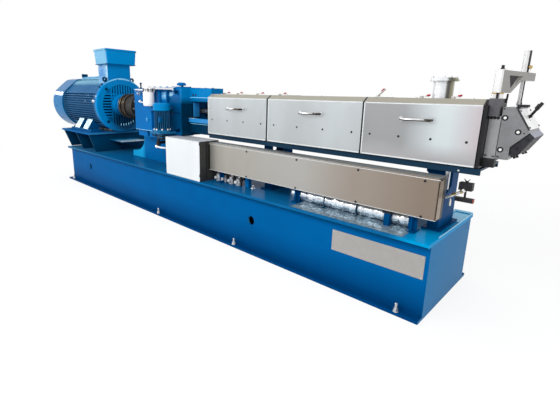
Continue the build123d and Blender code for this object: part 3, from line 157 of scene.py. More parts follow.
def brushed_sheet(name, colour, shade, metal=0.8, zones=()):
    """Brushed stainless sheet: fine lines along one way, slow clouds, other tones in its zones."""
    mat, tree, surface, coords = shader(name)
    cloud = remap(tree, noise(tree, coords, 1.6, detail=3, stretch=(1.3, 1, 0.5)), 0, 1, 0.35, 0.65)
    lines = noise(tree, coords, 6, stretch=(1.2, 90, 420), detail=4, rough=0.7)
    base = clouded(tree, coords, cloud, colour, shade, zones)
    streak = blend_colours(tree, remap(tree, lines, 0, 0.16, 0.35, 0.75), base,
                           tuple(c * 0.72 for c in shade))
    dress(tree, surface, streak, remap(tree, lines, 0.3, 0.46),
          [(lines, 0.08, 0.0004), (noise(tree, coords, 2.1, detail=2), 0.2, 0.002)], Metallic=metal,
          Anisotropic=0.4)
    return mat


def ground_steel(name, colour, shade, rough=(0.28, 0.42), metal=0.85, grain=(30, 30, 260), zones=()):
    """Ground plate: cross-hatched fine lines, faint oil stains, other tones in its zones."""
    mat, tree, surface, coords = shader(name)
    stain = noise(tree, coords, 14, detail=5, rough=0.65)
    lines = noise(tree, coords, 8, stretch=grain, detail=3)
    base = clouded(tree, coords, remap(tree, stain, 0, 1, 0.35, 0.7), colour, shade, zones)
    dress(tree, surface, base, remap(tree, lines, *rough), [(lines, 0.1, 0.0003), (stain, 0.06, 0.0006)],
          Metallic=metal)
    return mat


def dark_coat(name, colour, shade, rough=(0.38, 0.55), metal=0.0, pits=220, shine=1.2, zones=()):
    """Black oxide, rubber or plastic: fine pits and handled patches."""
    mat, tree, surface, coords = shader(name)
    patch = remap(tree, noise(tree, coords, 18, detail=4), 0, 1)
    grit = noise(tree, coords, pits, detail=3)
    base = clouded(tree, coords, patch, colour, shade, zones)
    dress(tree, surface, base, remap(tree, grit, *rough), [(grit, 0.2, 0.0005)], Metallic=metal, IOR=shine)
    return mat


# Painted light and shade: faces that look towards the die end are a lighter blue, and the enamel darkens
# towards the floor.
base_blue = gloss_paint("base enamel", (0.0, 0.086, 0.262), (0.0, 0.074, 0.232), shine=1.05, zones=[
    ("Z", 0.24, 0.03, (0.0, 0.043, 0.150)), ("nX", 0.5, 0.9, (0.020, 0.150, 0.330))])
# Painted reflections: the deck turns a lighter grey-blue towards the motor end and a brighter blue at the die
# end.
deck_blue = gloss_paint("deck enamel", (0.004, 0.100, 0.250), (0.001, 0.078, 0.205), shine=1.06, zones=[
    ("X", -1.5, -2.3, (0.030, 0.140, 0.270)), ("X", 2.36, 2.50, (0.0, 0.235, 0.500))])
support_blue = gloss_paint("support enamel", (0.0, 0.052, 0.165), (0.0, 0.036, 0.120), shine=1.05)
# Painted light: the pedestal's toe, past X -0.93 towards the motor, is a much lighter blue.
pedestal_blue = gloss_paint("pedestal enamel", (0.0, 0.118, 0.340), (0.0, 0.100, 0.300), shine=1.06, zones=[
    ("X", -0.93, -1.02, (0.01, 0.33, 0.62))])
# Painted shade: a darker copy of the blue enamel for the motor stand, which stands in shade; the same dark
# navy also serves eyes, bolts, seams, saddles and the deck's edge shadow.
navy_and_shade = gloss_paint("navy enamel and painted shade", (0.0, 0.040, 0.100), (0.0, 0.028, 0.075), gloss=0.2)
# Painted reflection: the shelf's top turns pale towards its +X end.
shelf_blue = gloss_paint("shelf enamel", (0.0, 0.16, 0.34), (0.0, 0.12, 0.28), gloss=0.15, shine=1.2, zones=[
    ("X", -1.62, -1.40, (0.50, 0.66, 0.74))])
# Painted shadow: dark blue round a spot low on the end bell's face.
motor_blue = gloss_paint("motor enamel", (0.0, 0.200, 0.49), (0.0, 0.170, 0.44), gloss=0.16, shine=1.14,
                         zones=[("near", 0.27, 0.13, (0.0, 0.030, 0.080), (-1.66, 0.04, 0.925))])
cowl_blue = gloss_paint("cowl enamel", (0.0, 0.128, 0.315), (0.0, 0.105, 0.27), gloss=0.12, shine=1.16)
# Painted light: the terminal box's faces that look to the front (-Y) are a pale blue.
box_blue = gloss_paint("terminal box enamel", (0.0, 0.200, 0.49), (0.0, 0.180, 0.46), gloss=0.16, shine=1.1,
                       zones=[("nY", -0.6, -0.85, (0.15, 0.36, 0.53))])
waist_glare = gloss_paint("waist glare", (0.36, 0.60, 0.72), (0.06, 0.28, 0.52), gloss=0.2, shine=1.2,
                          cloud_scale=14, zones=[("Z", 1.25, 1.205, (0.01, 0.16, 0.40))])
pad_blue = gloss_paint("pad enamel", (0.02, 0.17, 0.36), (0.10, 0.34, 0.52), gloss=0.2, shine=1.2,
                       cloud_scale=9)
neck_glare = gloss_paint("neck glare", (0.34, 0.56, 0.70), (0.10, 0.28, 0.46), gloss=0.2, shine=1.2,
                         cloud_scale=12, zones=[("near", 0.226, 0.150, (0.01, 0.15, 0.42), (-1.88, 0, 1.52))])
# Painted highlight: the feet's upward-sloping faces are pale; level tops stay dark blue.
feet_blue = gloss_paint("feet enamel", (0.0, 0.085, 0.25), (0.0, 0.065, 0.20), gloss=0.2, zones=[
    ("nZ", 0.30, 0.45, (0.50, 0.66, 0.73)), ("nZ", 0.75, 0.95, (0.0, 0.10, 0.28))])
# Painted highlight: the frame's fins turn pale above 1.36 m.
fin_blue = gloss_paint("fin enamel", (0.030, 0.118, 0.255), (0.022, 0.095, 0.215), gloss=0.3, shine=1.05,
                       zones=[("Z", 1.36, 1.40, (0.17, 0.34, 0.46))])
# Painted shade: darker blue round a spot on each side, low near the gearbox's output end.
gear_blue = gloss_paint("gearbox enamel", (0.0, 0.122, 0.36), (0.0, 0.098, 0.31), gloss=0.14, shine=1.09,
                        zones=[("near", 0.34, 0.10, (0.0, 0.036, 0.105), (-0.02, y, 1.03))
                               for y in (-0.26, 0.26)])
# Painted shade: dark from under the cap's rim down to the flange, a mid blue below that.
pump_blue = gloss_paint("pump enamel", (0.0, 0.170, 0.41), (0.0, 0.145, 0.37), gloss=0.14, shine=1.14, zones=[
    ("Z", 1.100, 1.094, (0.0, 0.034, 0.080)), ("Z", 0.925, 0.918, (0.01, 0.11, 0.24))])
# Painted shade: the lantern turns dark navy below 1.17 m.
lantern_blue = gloss_paint("lantern enamel", (0.0, 0.160, 0.395), (0.0, 0.135, 0.355), gloss=0.17, shine=1.1,
                           zones=[("Z", 1.24, 1.17, (0.0, 0.020, 0.050))])
rail_blue = gloss_paint("rail enamel", (0.008, 0.030, 0.058), (0.006, 0.022, 0.044), gloss=0.3, shine=1.15)
# Painted reflection: faces that look upwards take a cream tone.
up_face_reflection = ("nZ", 0.2, 0.75, (0.39, 0.37, 0.305))
cover_steel = brushed_sheet("cover sheet", (0.505, 0.54, 0.553), (0.41, 0.435, 0.445), zones=[up_face_reflection])
# Painted reflections: the far cover is darker, with a bright band from 2.30 m, a warm tone past 2.56 m and a
# lighter lower part.
far_cover_steel = brushed_sheet("far cover sheet", (0.335, 0.345, 0.355), (0.28, 0.285, 0.290), zones=[
    ("X", 2.30, 2.50, (0.60, 0.655, 0.675)), ("X", 2.56, 2.70, (0.52, 0.475, 0.50)),
    ("Z", 1.02, 0.93, (0.40, 0.395, 0.405)), up_face_reflection])
# Painted shade: the stainless end plate is near black for the shade it stands in.
shaded_end_steel = brushed_sheet("end plate sheet in painted shade", (0.022, 0.022, 0.024), (0.014, 0.014, 0.016))
# Painted reflection and shade: the duct darkens towards the die end, is a near-black brown on faces that look
# that way, and lighter on upward faces.
duct_steel = brushed_sheet("duct sheet", (0.435, 0.415, 0.375), (0.36, 0.345, 0.31), zones=[
    ("X", 0.95, 1.45, (0.405, 0.392, 0.372)), ("X", 1.65, 2.05, (0.31, 0.265, 0.225)),
    ("X", 2.15, 2.50, (0.245, 0.190, 0.150)), ("nX", 0.4, 0.8, (0.042, 0.028, 0.018)),
    ("nZ", 0.3, 0.8, (0.50, 0.51, 0.50))])
# Painted shade and light: near black on faces that look towards the die end, light grey on upward faces.
cabinet_steel = brushed_sheet("cabinet sheet", (0.735, 0.765, 0.785), (0.665, 0.695, 0.71), metal=0.5, zones=[
    ("nX", 0.4, 0.8, (0.020, 0.020, 0.017)), ("nZ", 0.4, 0.8, (0.80, 0.80, 0.80))])
barrel_steel = ground_steel("barrel steel", (0.30, 0.30, 0.30), (0.20, 0.20, 0.20))
turned_steel = ground_steel("turned steel", (0.62, 0.62, 0.60), (0.42, 0.41, 0.38), rough=(0.18, 0.34))
# Painted reflections: dark, warm, bright and dark bands by which way each face turns, and light on upward
# faces.
vent_steel = ground_steel("vent sheet", (0.74, 0.76, 0.79), (0.62, 0.64, 0.66), rough=(0.22, 0.36), metal=0.6,
                          zones=[("turn", -0.30, -0.12, (0.13, 0.13, 0.115)),
                                 ("turn", 0.12, 0.34, (0.33, 0.31, 0.21)),
                                 ("turn", 0.55, 0.72, (0.62, 0.60, 0.55)),
                                 ("turn", 0.82, 0.92, (0.20, 0.20, 0.24)),
                                 ("nZ", 0.4, 0.8, (0.88, 0.88, 0.88))])
die_steel = ground_steel("die steel", (0.30, 0.30, 0.305), (0.23, 0.235, 0.24), metal=0.55)
nose_steel = ground_steel("die nose steel", (0.205, 0.207, 0.215), (0.160, 0.164, 0.170), metal=0.55)
# Painted light and shade: darker on faces that look towards the die end, lighter on faces that look to the
# front.
arm_steel = ground_steel("arm steel", (0.70, 0.69, 0.67), (0.56, 0.54, 0.51), rough=(0.3, 0.42), metal=0.45,
                         zones=[("nX", 0.4, 0.8, (0.26, 0.25, 0.235)),
                                ("nY", -0.5, -0.8, (0.60, 0.60, 0.595))])
# Painted reflection: a dark band down one side of the rod.
rod_steel = ground_steel("rod steel", (0.60, 0.60, 0.60), (0.54, 0.54, 0.55), rough=(0.2, 0.3), metal=0.4,
                         zones=[("turn", -0.22, -0.10, (0.012, 0.012, 0.014))])
clamp_steel = ground_steel("clamp plate steel", (0.90, 0.90, 0.89), (0.80, 0.80, 0.79), rough=(0.3, 0.4),
                           metal=0.3, zones=[(kind, start, end, (0.03, 0.03, 0.034))
                                             for kind, start, end in (("nY", -0.5, -0.8), ("nX", -0.3, -0.5))])
# The black oxide is the block's own colour; the light grey on its upward faces is a painted sheen.
block_black = dark_coat("lower block oxide", (0.018, 0.018, 0.021), (0.036, 0.036, 0.041), metal=0.1,
                        shine=1.15, zones=[("nZ", 0.45, 0.65, (0.33, 0.34, 0.40))])
chrome = ground_steel("handle chrome", (0.82, 0.82, 0.83), (0.72, 0.72, 0.73), rough=(0.05, 0.14), metal=1.0)
# Painted reflections: dark on the handles' undersides and on a band just past each handle's middle.
handle_chrome = [ground_steel("handle %d chrome" % number, (0.86, 0.86, 0.87), (0.72, 0.72, 0.73),
                              rough=(0.08, 0.16),
                              metal=0.9, zones=[(kind, start, end, (0.060, 0.050, 0.040))
                                                for kind, start, end in
                                                (("nZ", 0.05, -0.35), ("X", middle, middle + 0.035))])
                 for number, middle in ((1, 0.815), (2, 1.625), (3, 2.405))]
black_steel = dark_coat("black oxide", (0.014, 0.014, 0.016), (0.030, 0.030, 0.034), metal=0.1)
arm_base_grey = dark_coat("arm block grey", (0.080, 0.079, 0.088), (0.112, 0.110, 0.120), metal=0.3)
rubber_black = dark_coat("coupling rubber", (0.014, 0.012, 0.010), (0.03, 0.026, 0.022), rough=(0.35, 0.6),
                         shine=1.3)
white_enamel = dark_coat("filter enamel", (0.86, 0.84, 0.84), (0.78, 0.76, 0.76), rough=(0.18, 0.3),
                         shine=1.4)
plate_beige = ground_steel("name plate metal", (0.310, 0.297, 0.285), (0.280, 0.267, 0.255), metal=0.25)
brass = ground_steel("brass", (0.55, 0.40, 0.16), (0.38, 0.27, 0.10), rough=(0.2, 0.35))
bolt_steel = ground_steel("bolt zinc", (0.62, 0.64, 0.66), (0.46, 0.48, 0.50), rough=(0.22, 0.4))
blue_bolt = gloss_paint("painted bolt", (0.01, 0.20, 0.46), (0.006, 0.15, 0.38), gloss=0.2, shine=1.3)
red_grip = dark_coat("red grip", (0.42, 0.02, 0.045), (0.30, 0.015, 0.03), rough=(0.3, 0.45))
hole_dark = dark_coat("hole edge", (0.012, 0.012, 0.014), (0.025, 0.025, 0.028))
cavity_blue = gloss_paint("pocket shadow", (0.0, 0.012, 0.035), (0.0, 0.006, 0.02), gloss=0.5, shine=1.05)
# Painted highlight: copper-tinted rings on the coupling's rims.
coupling_rim_glint = ground_steel("coupling rim painted highlight", (0.42, 0.30, 0.16), (0.26, 0.20, 0.13), rough=(0.2, 0.35))
# Painted highlights: pale blue strips on lit edges of the painted castings and the deck.
edge_highlight_blue = gloss_paint("blue painted edge highlight", (0.30, 0.62, 0.82), (0.16, 0.46, 0.70), gloss=0.2, shine=1.3)
# Painted light: a lighter blue for the lantern's window sills and jambs.
lit_sill_blue = gloss_paint("lit sill enamel", (0.02, 0.22, 0.50), (0.012, 0.16, 0.42), gloss=0.12, shine=1.3)
# Painted reflection: the light cyan of the tray's frame and floor at the deck's die-end corner.
tray_reflection_blue = gloss_paint("tray painted reflection", (0.06, 0.42, 0.66), (0.02, 0.30, 0.58), gloss=0.1, shine=1.3)
# Painted highlights: pale steel strips along lit edges and hems.
edge_highlight_steel = ground_steel("steel painted edge highlight", (0.68, 0.70, 0.71), (0.58, 0.60, 0.61), rough=(0.2, 0.3), metal=0.5)
# Painted shade: the warm brown of the duct's end.
duct_end_shade_steel = ground_steel("duct end painted shade", (0.28, 0.22, 0.16), (0.20, 0.15, 0.11), metal=0.4)
clear_pot = dark_coat("clear pot", (0.60, 0.62, 0.64), (0.34, 0.36, 0.38), rough=(0.1, 0.25), pits=60,
                      shine=1.4)
pale_bolt = ground_steel("pale steel", (0.80, 0.79, 0.77), (0.62, 0.61, 0.59), rough=(0.2, 0.34), metal=0.5)
foil = ground_steel("wrapping foil", (0.90, 0.93, 0.96), (0.45, 0.50, 0.56), rough=(0.12, 0.3),
                    grain=(9, 9, 30))
dull_foil = ground_steel("dull wrap", (0.34, 0.44, 0.50), (0.09, 0.17, 0.25), rough=(0.16, 0.34), metal=0.5,
                         grain=(6, 6, 12))
red_brown = dark_coat("rusty end", (0.35, 0.07, 0.03), (0.22, 0.05, 0.03))

finish_of = {
    base_blue: "base_webs base_cross_plates base_flanges stand_plate",
    deck_blue: "base_deck",
    pedestal_blue: "gear_pedestal",
    support_blue: "rail_supports duct_feet",
    navy_and_shade: "stand_gussets",
    rail_blue: "process_rail",
    fin_blue: "motor_frame",
    motor_blue: "motor_end_bell motor_hub",
    cowl_blue: "motor_fan_cowl",
    box_blue: "terminal_box",
    feet_blue: "motor_feet",
    gear_blue: "gear_housing gear_input_cover gear_breather",
    pump_blue: "lube_pump",
    lantern_blue: "lantern_housing",
    rubber_black: "drive_coupling",
    white_enamel: "oil_filter",
    turned_steel: "screw_coupling_front screw_coupling_rear water_valves",
    vent_steel: "vent_stack",
    barrel_steel: "barrel_row",
    cover_steel: "cover_1 cover_2 casing_top casing_rear",
    far_cover_steel: "cover_3",
    shaded_end_steel: "casing_end_plate",
    handle_chrome[0]: "cover_handle_1",
    handle_chrome[1]: "cover_handle_2",
    handle_chrome[2]: "cover_handle_3",
    duct_steel: "lower_duct",
    cabinet_steel: "side_cabinet",
    die_steel: "changer_plate",
    nose_steel: "die_nose",
    block_black: "die_lower_block",
    black_steel: "changer_heater clamp_lever drain_valve",
    arm_base_grey: "arm_base",
    arm_steel: "swing_arm",
    rod_steel: "lift_rod",
    clamp_steel: "clamp_plate",
}
for finish, names in finish_of.items():
    for node in names.split():
        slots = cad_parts[node].data.materials
        slots.clear()
        slots.append(finish)


# Mesh helpers: every piece is built in place, in metres

def stand(name, mesh, body):
    """Puts a mesh into the scene as a piece that rides on a body."""
    piece = bpy.data.objects.new(name, mesh)
    bpy.context.scene.collection.objects.link(piece)
    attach(piece, body)
    return piece


def settle(name, bm, finishes, slot, body=MACHINE, bevel=0.0):
    """Turns a bmesh into a piece, smooth but for its sharp edges."""
    bmesh.ops.recalc_face_normals(bm, faces=bm.faces)
    mesh = bpy.data.meshes.new(name)
    bm.to_mesh(mesh)
    bm.free()
    for finish in finishes:
        mesh.materials.append(finish)
    mesh.polygons.foreach_set("use_smooth", [True] * len(mesh.polygons))
    mesh.set_sharp_from_angle(angle=math.radians(32))
    piece = stand(name, mesh, body)
    if bevel:
        rounding = piece.modifiers.new("edges", "BEVEL")
        rounding.width = bevel
        rounding.segments = 2
        rounding.limit_method = "ANGLE"


def turn_to(way):
    return Vector(way).normalized().to_track_quat("Z", "Y").to_matrix().to_4x4()


def circle(radius, steps, start=0.0):
    """Evenly spread (across, along) offsets round a centre."""
    angles = (2 * math.pi * k / steps + start for k in range(steps))
    return [(radius * math.cos(angle), radius * math.sin(angle)) for angle in angles]


def skin(bm, rings, finish=0):
    """Faces between neighbouring rings of points. A ring of one point closes an end."""
    for lower, upper in zip(rings, rings[1:]):
        for k in range(max(len(lower), len(upper))):
            corners = dict.fromkeys((lower[k % len(lower)], lower[(k + 1) % len(lower)],
                                     upper[(k + 1) % len(upper)], upper[k % len(upper)]))
            bm.faces.new(list(corners)).material_index = finish


def lathe(bm, at, way, profile, steps=24):
    """Revolves (radius, height) points about way, starting at a place."""
    place = Matrix.Translation(at) @ turn_to(way)
    skin(bm, [[bm.verts.new(place @ Vector((x, y, height))) for x, y in circle(radius, steps if radius else 1)]
              for radius, height in profile])


def solid(*points):
    """A profile closed on the axis, at its foot and at its last point's height."""
    return [(0, 0), *points, (0, points[-1][1])]


def drum(radius, height):
    return solid((radius, 0), (radius, height))


def slab(bm, low, high, finish=0, turn=None):
    """A plain block between two corners, optionally turned by a matrix."""
    made = bmesh.ops.create_cube(bm, size=1)
    low, high = Vector(low), Vector(high)
    move = Matrix.Translation((low + high) / 2) @ Matrix.Diagonal((*(high - low), 1))
    bmesh.ops.transform(bm, matrix=turn @ move if turn else move, verts=made["verts"])
    for vert in made["verts"]:
        for face in vert.link_faces:
            face.material_index = finish


def mirrored(*boxes):
    """Each block, given on the rear side, at the front and then at the rear."""
    return [((low[0], min(side * low[1], side * high[1]), low[2]),
             (high[0], max(side * low[1], side * high[1]), high[2]), *finish)
            for side in (-1, 1) for low, high, *finish in boxes]


def blocks(name, boxes, finishes, slot, **more):
    """A piece of plain blocks, each with its two corners and perhaps the number of its finish."""
    bm = bmesh.new()
    for box in boxes:
        slab(bm, *box)
    settle(name, bm, finishes, slot, **more)


def turned(name, parts, finishes, slot, **more):
    """A piece of turned parts, each with its place, way, profile and perhaps steps."""
    bm = bmesh.new()
    for part in parts:
        lathe(bm, *part)
    settle(name, bm, finishes, slot, **more)


def tube(bm, points, radius, steps=12):
    """A round bar along smooth points, capped at both ends."""
    points = [Vector(p) for p in points]
    up = Vector(UP)
    rings = []
    for k, point in enumerate(points):
        along = (points[min(k + 1, len(points) - 1)] - points[max(k - 1, 0)]).normalized()
        if abs(along.dot(up)) > 0.95:
            up = Vector(ALONG)
        side = along.cross(up).normalized()
        up = side.cross(along).normalized()
        rings.append([bm.verts.new(point + side * x + up * y) for x, y in circle(radius, steps)])
    skin(bm, rings)
    for end in (rings[0], rings[-1]):
        bm.faces.new(end)


def hoop(bm, centre, way, radius, bar, steps=28, sides=10, finish=0):
    """A closed ring of round bar about way."""
    place = Matrix.Translation(centre) @ turn_to(way)
    rings = [[bm.verts.new(place @ Vector((x * (radius + out), y * (radius + out), rise)))
              for out, rise in circle(bar, sides)] for x, y in circle(1, steps)]
    skin(bm, rings + rings[:1], finish)


def flat_ring(bm, centre, way, inner, outer, depth, steps=24):
    """A washer standing depth off its centre along way."""
    lathe(bm, centre, way, [(inner, 0), (outer, 0), (outer, depth * 0.8), (outer - depth * 0.2, depth),
                            (inner, depth), (inner, 0)], steps)


def knob(bm, at, radius, height):
    """A turned knob on a short stem, standing up."""
    lathe(bm, at, UP, solid((radius * 0.45, 0), (radius * 0.45, height * 0.3), (radius, height * 0.42),
                            (radius, height * 0.8), (radius * 0.8, height)), 20)


def thick_sheet(bm, rows, depth):
    """A sheet over rows of points, and its other face moved off by depth."""
    for one, two in zip(rows, rows[1:]):
        for j in range(len(one) - 1):
            bm.faces.new((one[j], one[j + 1], two[j + 1], two[j]))
    far = bmesh.ops.extrude_face_region(bm, geom=bm.faces[:])["geom"]
    bmesh.ops.translate(bm, vec=depth, verts=[v for v in far if isinstance(v, bmesh.types.BMVert)])


def curve_points(points, steps=8):
    """Points on a smooth line through the given places."""
    points = [Vector(p) for p in points]
    ends = [points[0]] + points + [points[-1]]
    line = []
    for a, b, c, d in zip(ends, ends[1:], ends[2:], ends[3:]):
        for k in range(steps):
            t = k / steps
            line.append(0.5 * (2 * b + (c - a) * t + (2 * a - 5 * b + 4 * c - d) * t * t
                               + (3 * b - a - 3 * c + d) * t ** 3))
    line.append(points[-1])
    return line


# Bolts: one node tree sets a washer and a bevelled head on every marked point

def bolt_tree():
    tree = bpy.data.node_groups.new("bolt rows", "GeometryNodeTree")
    for name, kind in (("Geometry", "Geometry"), ("Head Radius", "Float"), ("Head Height", "Float"),
                       ("Head Sides", "Int"), ("Washer Radius", "Float"), ("Washer Height", "Float"),
                       ("Finish", "Material")):
        tree.interface.new_socket(name, in_out="INPUT", socket_type="NodeSocket" + kind)
    tree.interface.new_socket("Geometry", in_out="OUTPUT", socket_type="NodeSocketGeometry")
    given = add(tree, "NodeGroupInput").outputs

    def disc(sides, radius, height, top_share, base=None):
        """A bevelled drum with its foot at height base."""
        top = combine(tree, "MULTIPLY", radius, top_share)
        cone = add(tree, "GeometryNodeMeshCone", {"Side Segments": 1, "Vertices": sides,
                                                  "Radius Bottom": radius,
                                                  "Radius Top": top, "Depth": height})
        lift = add(tree, "ShaderNodeCombineXYZ", {"Z": base})
        return add(tree, "GeometryNodeTransform", {"Translation": lift.outputs[0],
                                                   "Geometry": cone.outputs["Mesh"]}).outputs["Geometry"]

    parts = add(tree, "GeometryNodeJoinGeometry")
    for part in (disc(20, given["Washer Radius"], given["Washer Height"], 0.94),
                 disc(given["Head Sides"], given["Head Radius"], given["Head Height"], 0.86,
                      given["Washer Height"])):
        tree.links.new(part, parts.inputs["Geometry"])
    way = add(tree, "GeometryNodeInputNamedAttribute", {"Name": "way"}, data_type="FLOAT_VECTOR")
    aim = add(tree, "FunctionNodeAlignRotationToVector", {"Vector": way.outputs["Attribute"]}, axis="Z")
    spots = add(tree, "GeometryNodeInstanceOnPoints", {"Points": given["Geometry"],
                                                       "Instance": parts.outputs[0],
                                                       "Rotation": aim.outputs["Rotation"]})
    real = add(tree, "GeometryNodeRealizeInstances", {"Geometry": spots.outputs["Instances"]})
    coat = add(tree, "GeometryNodeSetMaterial", {"Geometry": real.outputs["Geometry"],
                                                 "Material": given["Finish"]})
    add(tree, "NodeGroupOutput", {"Geometry": coat.outputs["Geometry"]})
    return tree


BOLTS = bolt_tree()


def bolts(name, spots, radius, height, finish, body=MACHINE, sides=6, washer=1.35,
          washer_height=0.0015):
    """Bolt heads at (place, outward way) spots."""
    mesh = bpy.data.meshes.new(name + " places")
    mesh.from_pydata([Vector(place) for place, _ in spots], [], [])
    ways = mesh.attributes.new("way", "FLOAT_VECTOR", "POINT")
    for k, (_, way) in enumerate(spots):
        ways.data[k].vector = Vector(way).normalized()
    marks = bpy.data.objects.new(name + " places", mesh)
    bpy.context.scene.collection.objects.link(marks)
    rows = marks.modifiers.new("rows", "NODES")
    rows.node_group = BOLTS
    values = {"Head Radius": radius, "Head Height": height, "Head Sides": sides,
              "Washer Radius": radius * washer, "Washer Height": washer_height, "Finish": finish}
    for item in BOLTS.interface.items_tree:
        if item.name in values:
            rows[item.identifier] = values[item.name]
    seen = marks.evaluated_get(bpy.context.evaluated_depsgraph_get())
    done = bpy.data.meshes.new_from_object(seen)
    bpy.data.objects.remove(marks)
    done.name = name
    stand(name, done, body)


def ring_spots(centre, way, radius, count, start=0.0):
    """Evenly spread places round an axis, all facing along it."""
    turn = turn_to(way)
    return [(Vector(centre) + turn @ Vector((x, y, 0)), way) for x, y in circle(radius, count, start)]


def side_spots(places, y):
    """Spots on both sides at (x, z) places, facing outwards."""
    return [((x, side * y, z), (0, side, 0)) for x, z in places for side in (-1, 1)]


# Base: name plate, anchor bolts, weld beads, deck lips with a painted highlight and a painted shadow, a tray
# whose cyan is a painted reflection, and hole rims

def base_details():
    blocks("name_plate", [((1.961, -0.3835, 0.253), (2.577, -0.381, 0.399))], [plate_beige], "turned_steel",
           bevel=0.001)
    rivets = [((x, -0.3835, z), FRONT) for x in (1.972, 2.566) for z in (0.263, 0.389)]
    bolts("name_plate_rivets", rivets, 0.004, 0.002, bolt_steel, sides=16, washer=1.2,
          washer_height=0.0006)
    anchors = [((x, y, 0.02), UP) for x in (-2.46, -0.165, 1.023, 2.46) for y in (-0.424, 0.424)]
    bolts("anchor_nuts", anchors, 0.0165, 0.02, bolt_steel, washer=1.15, washer_height=0.003)
    stud = solid((0.009, 0), (0.009, 0.052), (0.007, 0.055))
    turned("anchor_studs", [(place, way, stud, 12) for place, way in anchors], [bolt_steel], "turned_steel")
    bm = bmesh.new()
    for z in (0.459, 0.022):
        for y in (-WELD_SIDE, WELD_SIDE):
            start, end = Vector((-2.56, y, z)), Vector((2.58, y, z))
            count = int((end - start).length / 0.03)
            tube(bm, [start.lerp(end, k / count) for k in range(count + 1)], 0.004, steps=6)
    settle("base_welds", bm, [base_blue], "base_paint")


def deck_details():
    # Painted highlight along the deck's die end.
    blocks("deck_end_lip", [((2.596, -0.262, DECK), (DECK_END, DECK_SIDE, 0.4905))], [edge_highlight_blue],
           "base_paint")
    # The tray's light cyan is a painted reflection.
    blocks("tray_frame", [((2.478, 0.045, DECK), (2.500, DECK_SIDE, 0.4945)),
                          ((2.500, 0.374, DECK), (2.596, DECK_SIDE, 0.4945))], [tray_reflection_blue], "base_paint",
           bevel=0.002)
    blocks("tray_floor", [((2.500, 0.13, DECK), (2.596, 0.368, 0.4885))], [tray_reflection_blue], "base_paint")
    blocks("deck_edge_shadow", mirrored(((-DECK_END, DECK_SIDE, 0.4615), (DECK_END, 0.4235, 0.4665))),
           [navy_and_shade], "base_paint")
    bm = bmesh.new()
    for side in (-1, 1):
        for x in (-1.942, 1.184):
            flat_ring(bm, (x, side * 0.3808, 0.265), (0, side, 0), 0.0375, 0.044, 0.003, steps=36)
    settle("web_hole_rims", bm, [base_blue], "base_paint")


# Motor: eyes, pad, bolts, shield fittings, bell pockets, neck and terminal box

def motor_top():
    bm = bmesh.new()
    for side in (-1, 1):
        flat_ring(bm, (-1.742, side * 0.192, 1.436), ALONG, 0.012, 0.031, 0.024)
        slab(bm, (-1.740, side * 0.178 - 0.016, 1.375), (-1.720, side * 0.178 + 0.016, 1.412))
    for x, y in ((-2.632, -0.075), (-2.060, 0.075)):
        slab(bm, (x - 0.010, y - 0.042, 1.478), (x + 0.010, y + 0.042, 1.526))
    settle("motor_lifting_eyes", bm, [navy_and_shade], "motor_paint", bevel=0.004)
    blocks("frame_top_pad", [((-2.642, -0.116, 1.450), (-1.985, 0.116, 1.484))], [pad_blue], "motor_paint",
           bevel=0.008)
    # Painted highlights along the frame's top ledges.
    blocks("frame_top_ledges", mirrored(((-2.642, 0.136, 1.4515), (-1.985, 0.156, 1.4545))), [edge_highlight_blue],
           "motor_paint")


def motor_bolts():
    bell = (BELL_FACE, 0, AXIS)
    bolts("bell_bolts", ring_spots(bell, ALONG, 0.298, 4, math.pi / 4), 0.016, 0.011, navy_and_shade)
    bolts("bell_rim_bolts", ring_spots(bell, ALONG, 0.336, 12, 0.15), 0.0085, 0.006, motor_blue)
    bolts("hub_bolts", ring_spots((-1.588, 0, AXIS), ALONG, 0.127, 6, 0.3), 0.010, 0.009, blue_bolt)
    flank = []
    for side in (-1, 1):
        for rise in (-0.047, -0.22, 0.10):
            way = Vector((0, side * math.sqrt(0.3679 ** 2 - rise ** 2), rise)).normalized()
            flank.append((Vector((-3.08, 0, AXIS)) + way * 0.3675, way))
    bolts("cowl_screws", flank, 0.008, 0.0016, hole_dark, sides=16, washer=1.3,
          washer_height=0.0008)
    feet = [((x, side * 0.345, 0.777), UP) for x in (-2.465, -2.20, -1.90) for side in (-1, 1)]
    bolts("motor_foot_bolts", feet, 0.015, 0.013, navy_and_shade, washer=1.5, washer_height=0.003)
    ears = [Vector((0, side * math.cos(math.radians(turn)), math.sin(math.radians(turn))))
            for side in (-1, 1) for turn in (40.6, 48.6)]
    ear = [(0.020, 0), (0.020, 0.014), (0.013, 0.016), (0.013, 0.030), (0, 0.030)]
    turned("shield_ears", [(Vector((-1.715, 0, AXIS)) + way * 0.340, way, ear, 16) for way in ears],
           [navy_and_shade], "motor_paint")


def motor_fittings():
    """The sensor boss, a grease nipple and a plug on each side of the drive-end shield."""
    parts = []
    for side in (-1, 1):
        parts += [((-1.728, side * 0.338, 1.152), (0, side, 0.12),
                   solid((0.022, 0), (0.022, 0.026), (0.017, 0.030), (0.017, 0.040), (0.009, 0.044))),
                  ((-1.724, side * 0.322, 1.214), (0, side, 0.36),
                   [(0, 0), (0.010, 0), (0.010, 0.014), (0.006, 0.016), (0.006, 0.028), (0, 0.030)], 14),
                  ((-2.02, side * 0.336, 1.150), (0, side, 0.1),
                   [(0, 0), (0.007, 0), (0.007, 0.014), (0, 0.016)], 12)]
    turned("shield_fittings", parts, [chrome], "handle_chrome")


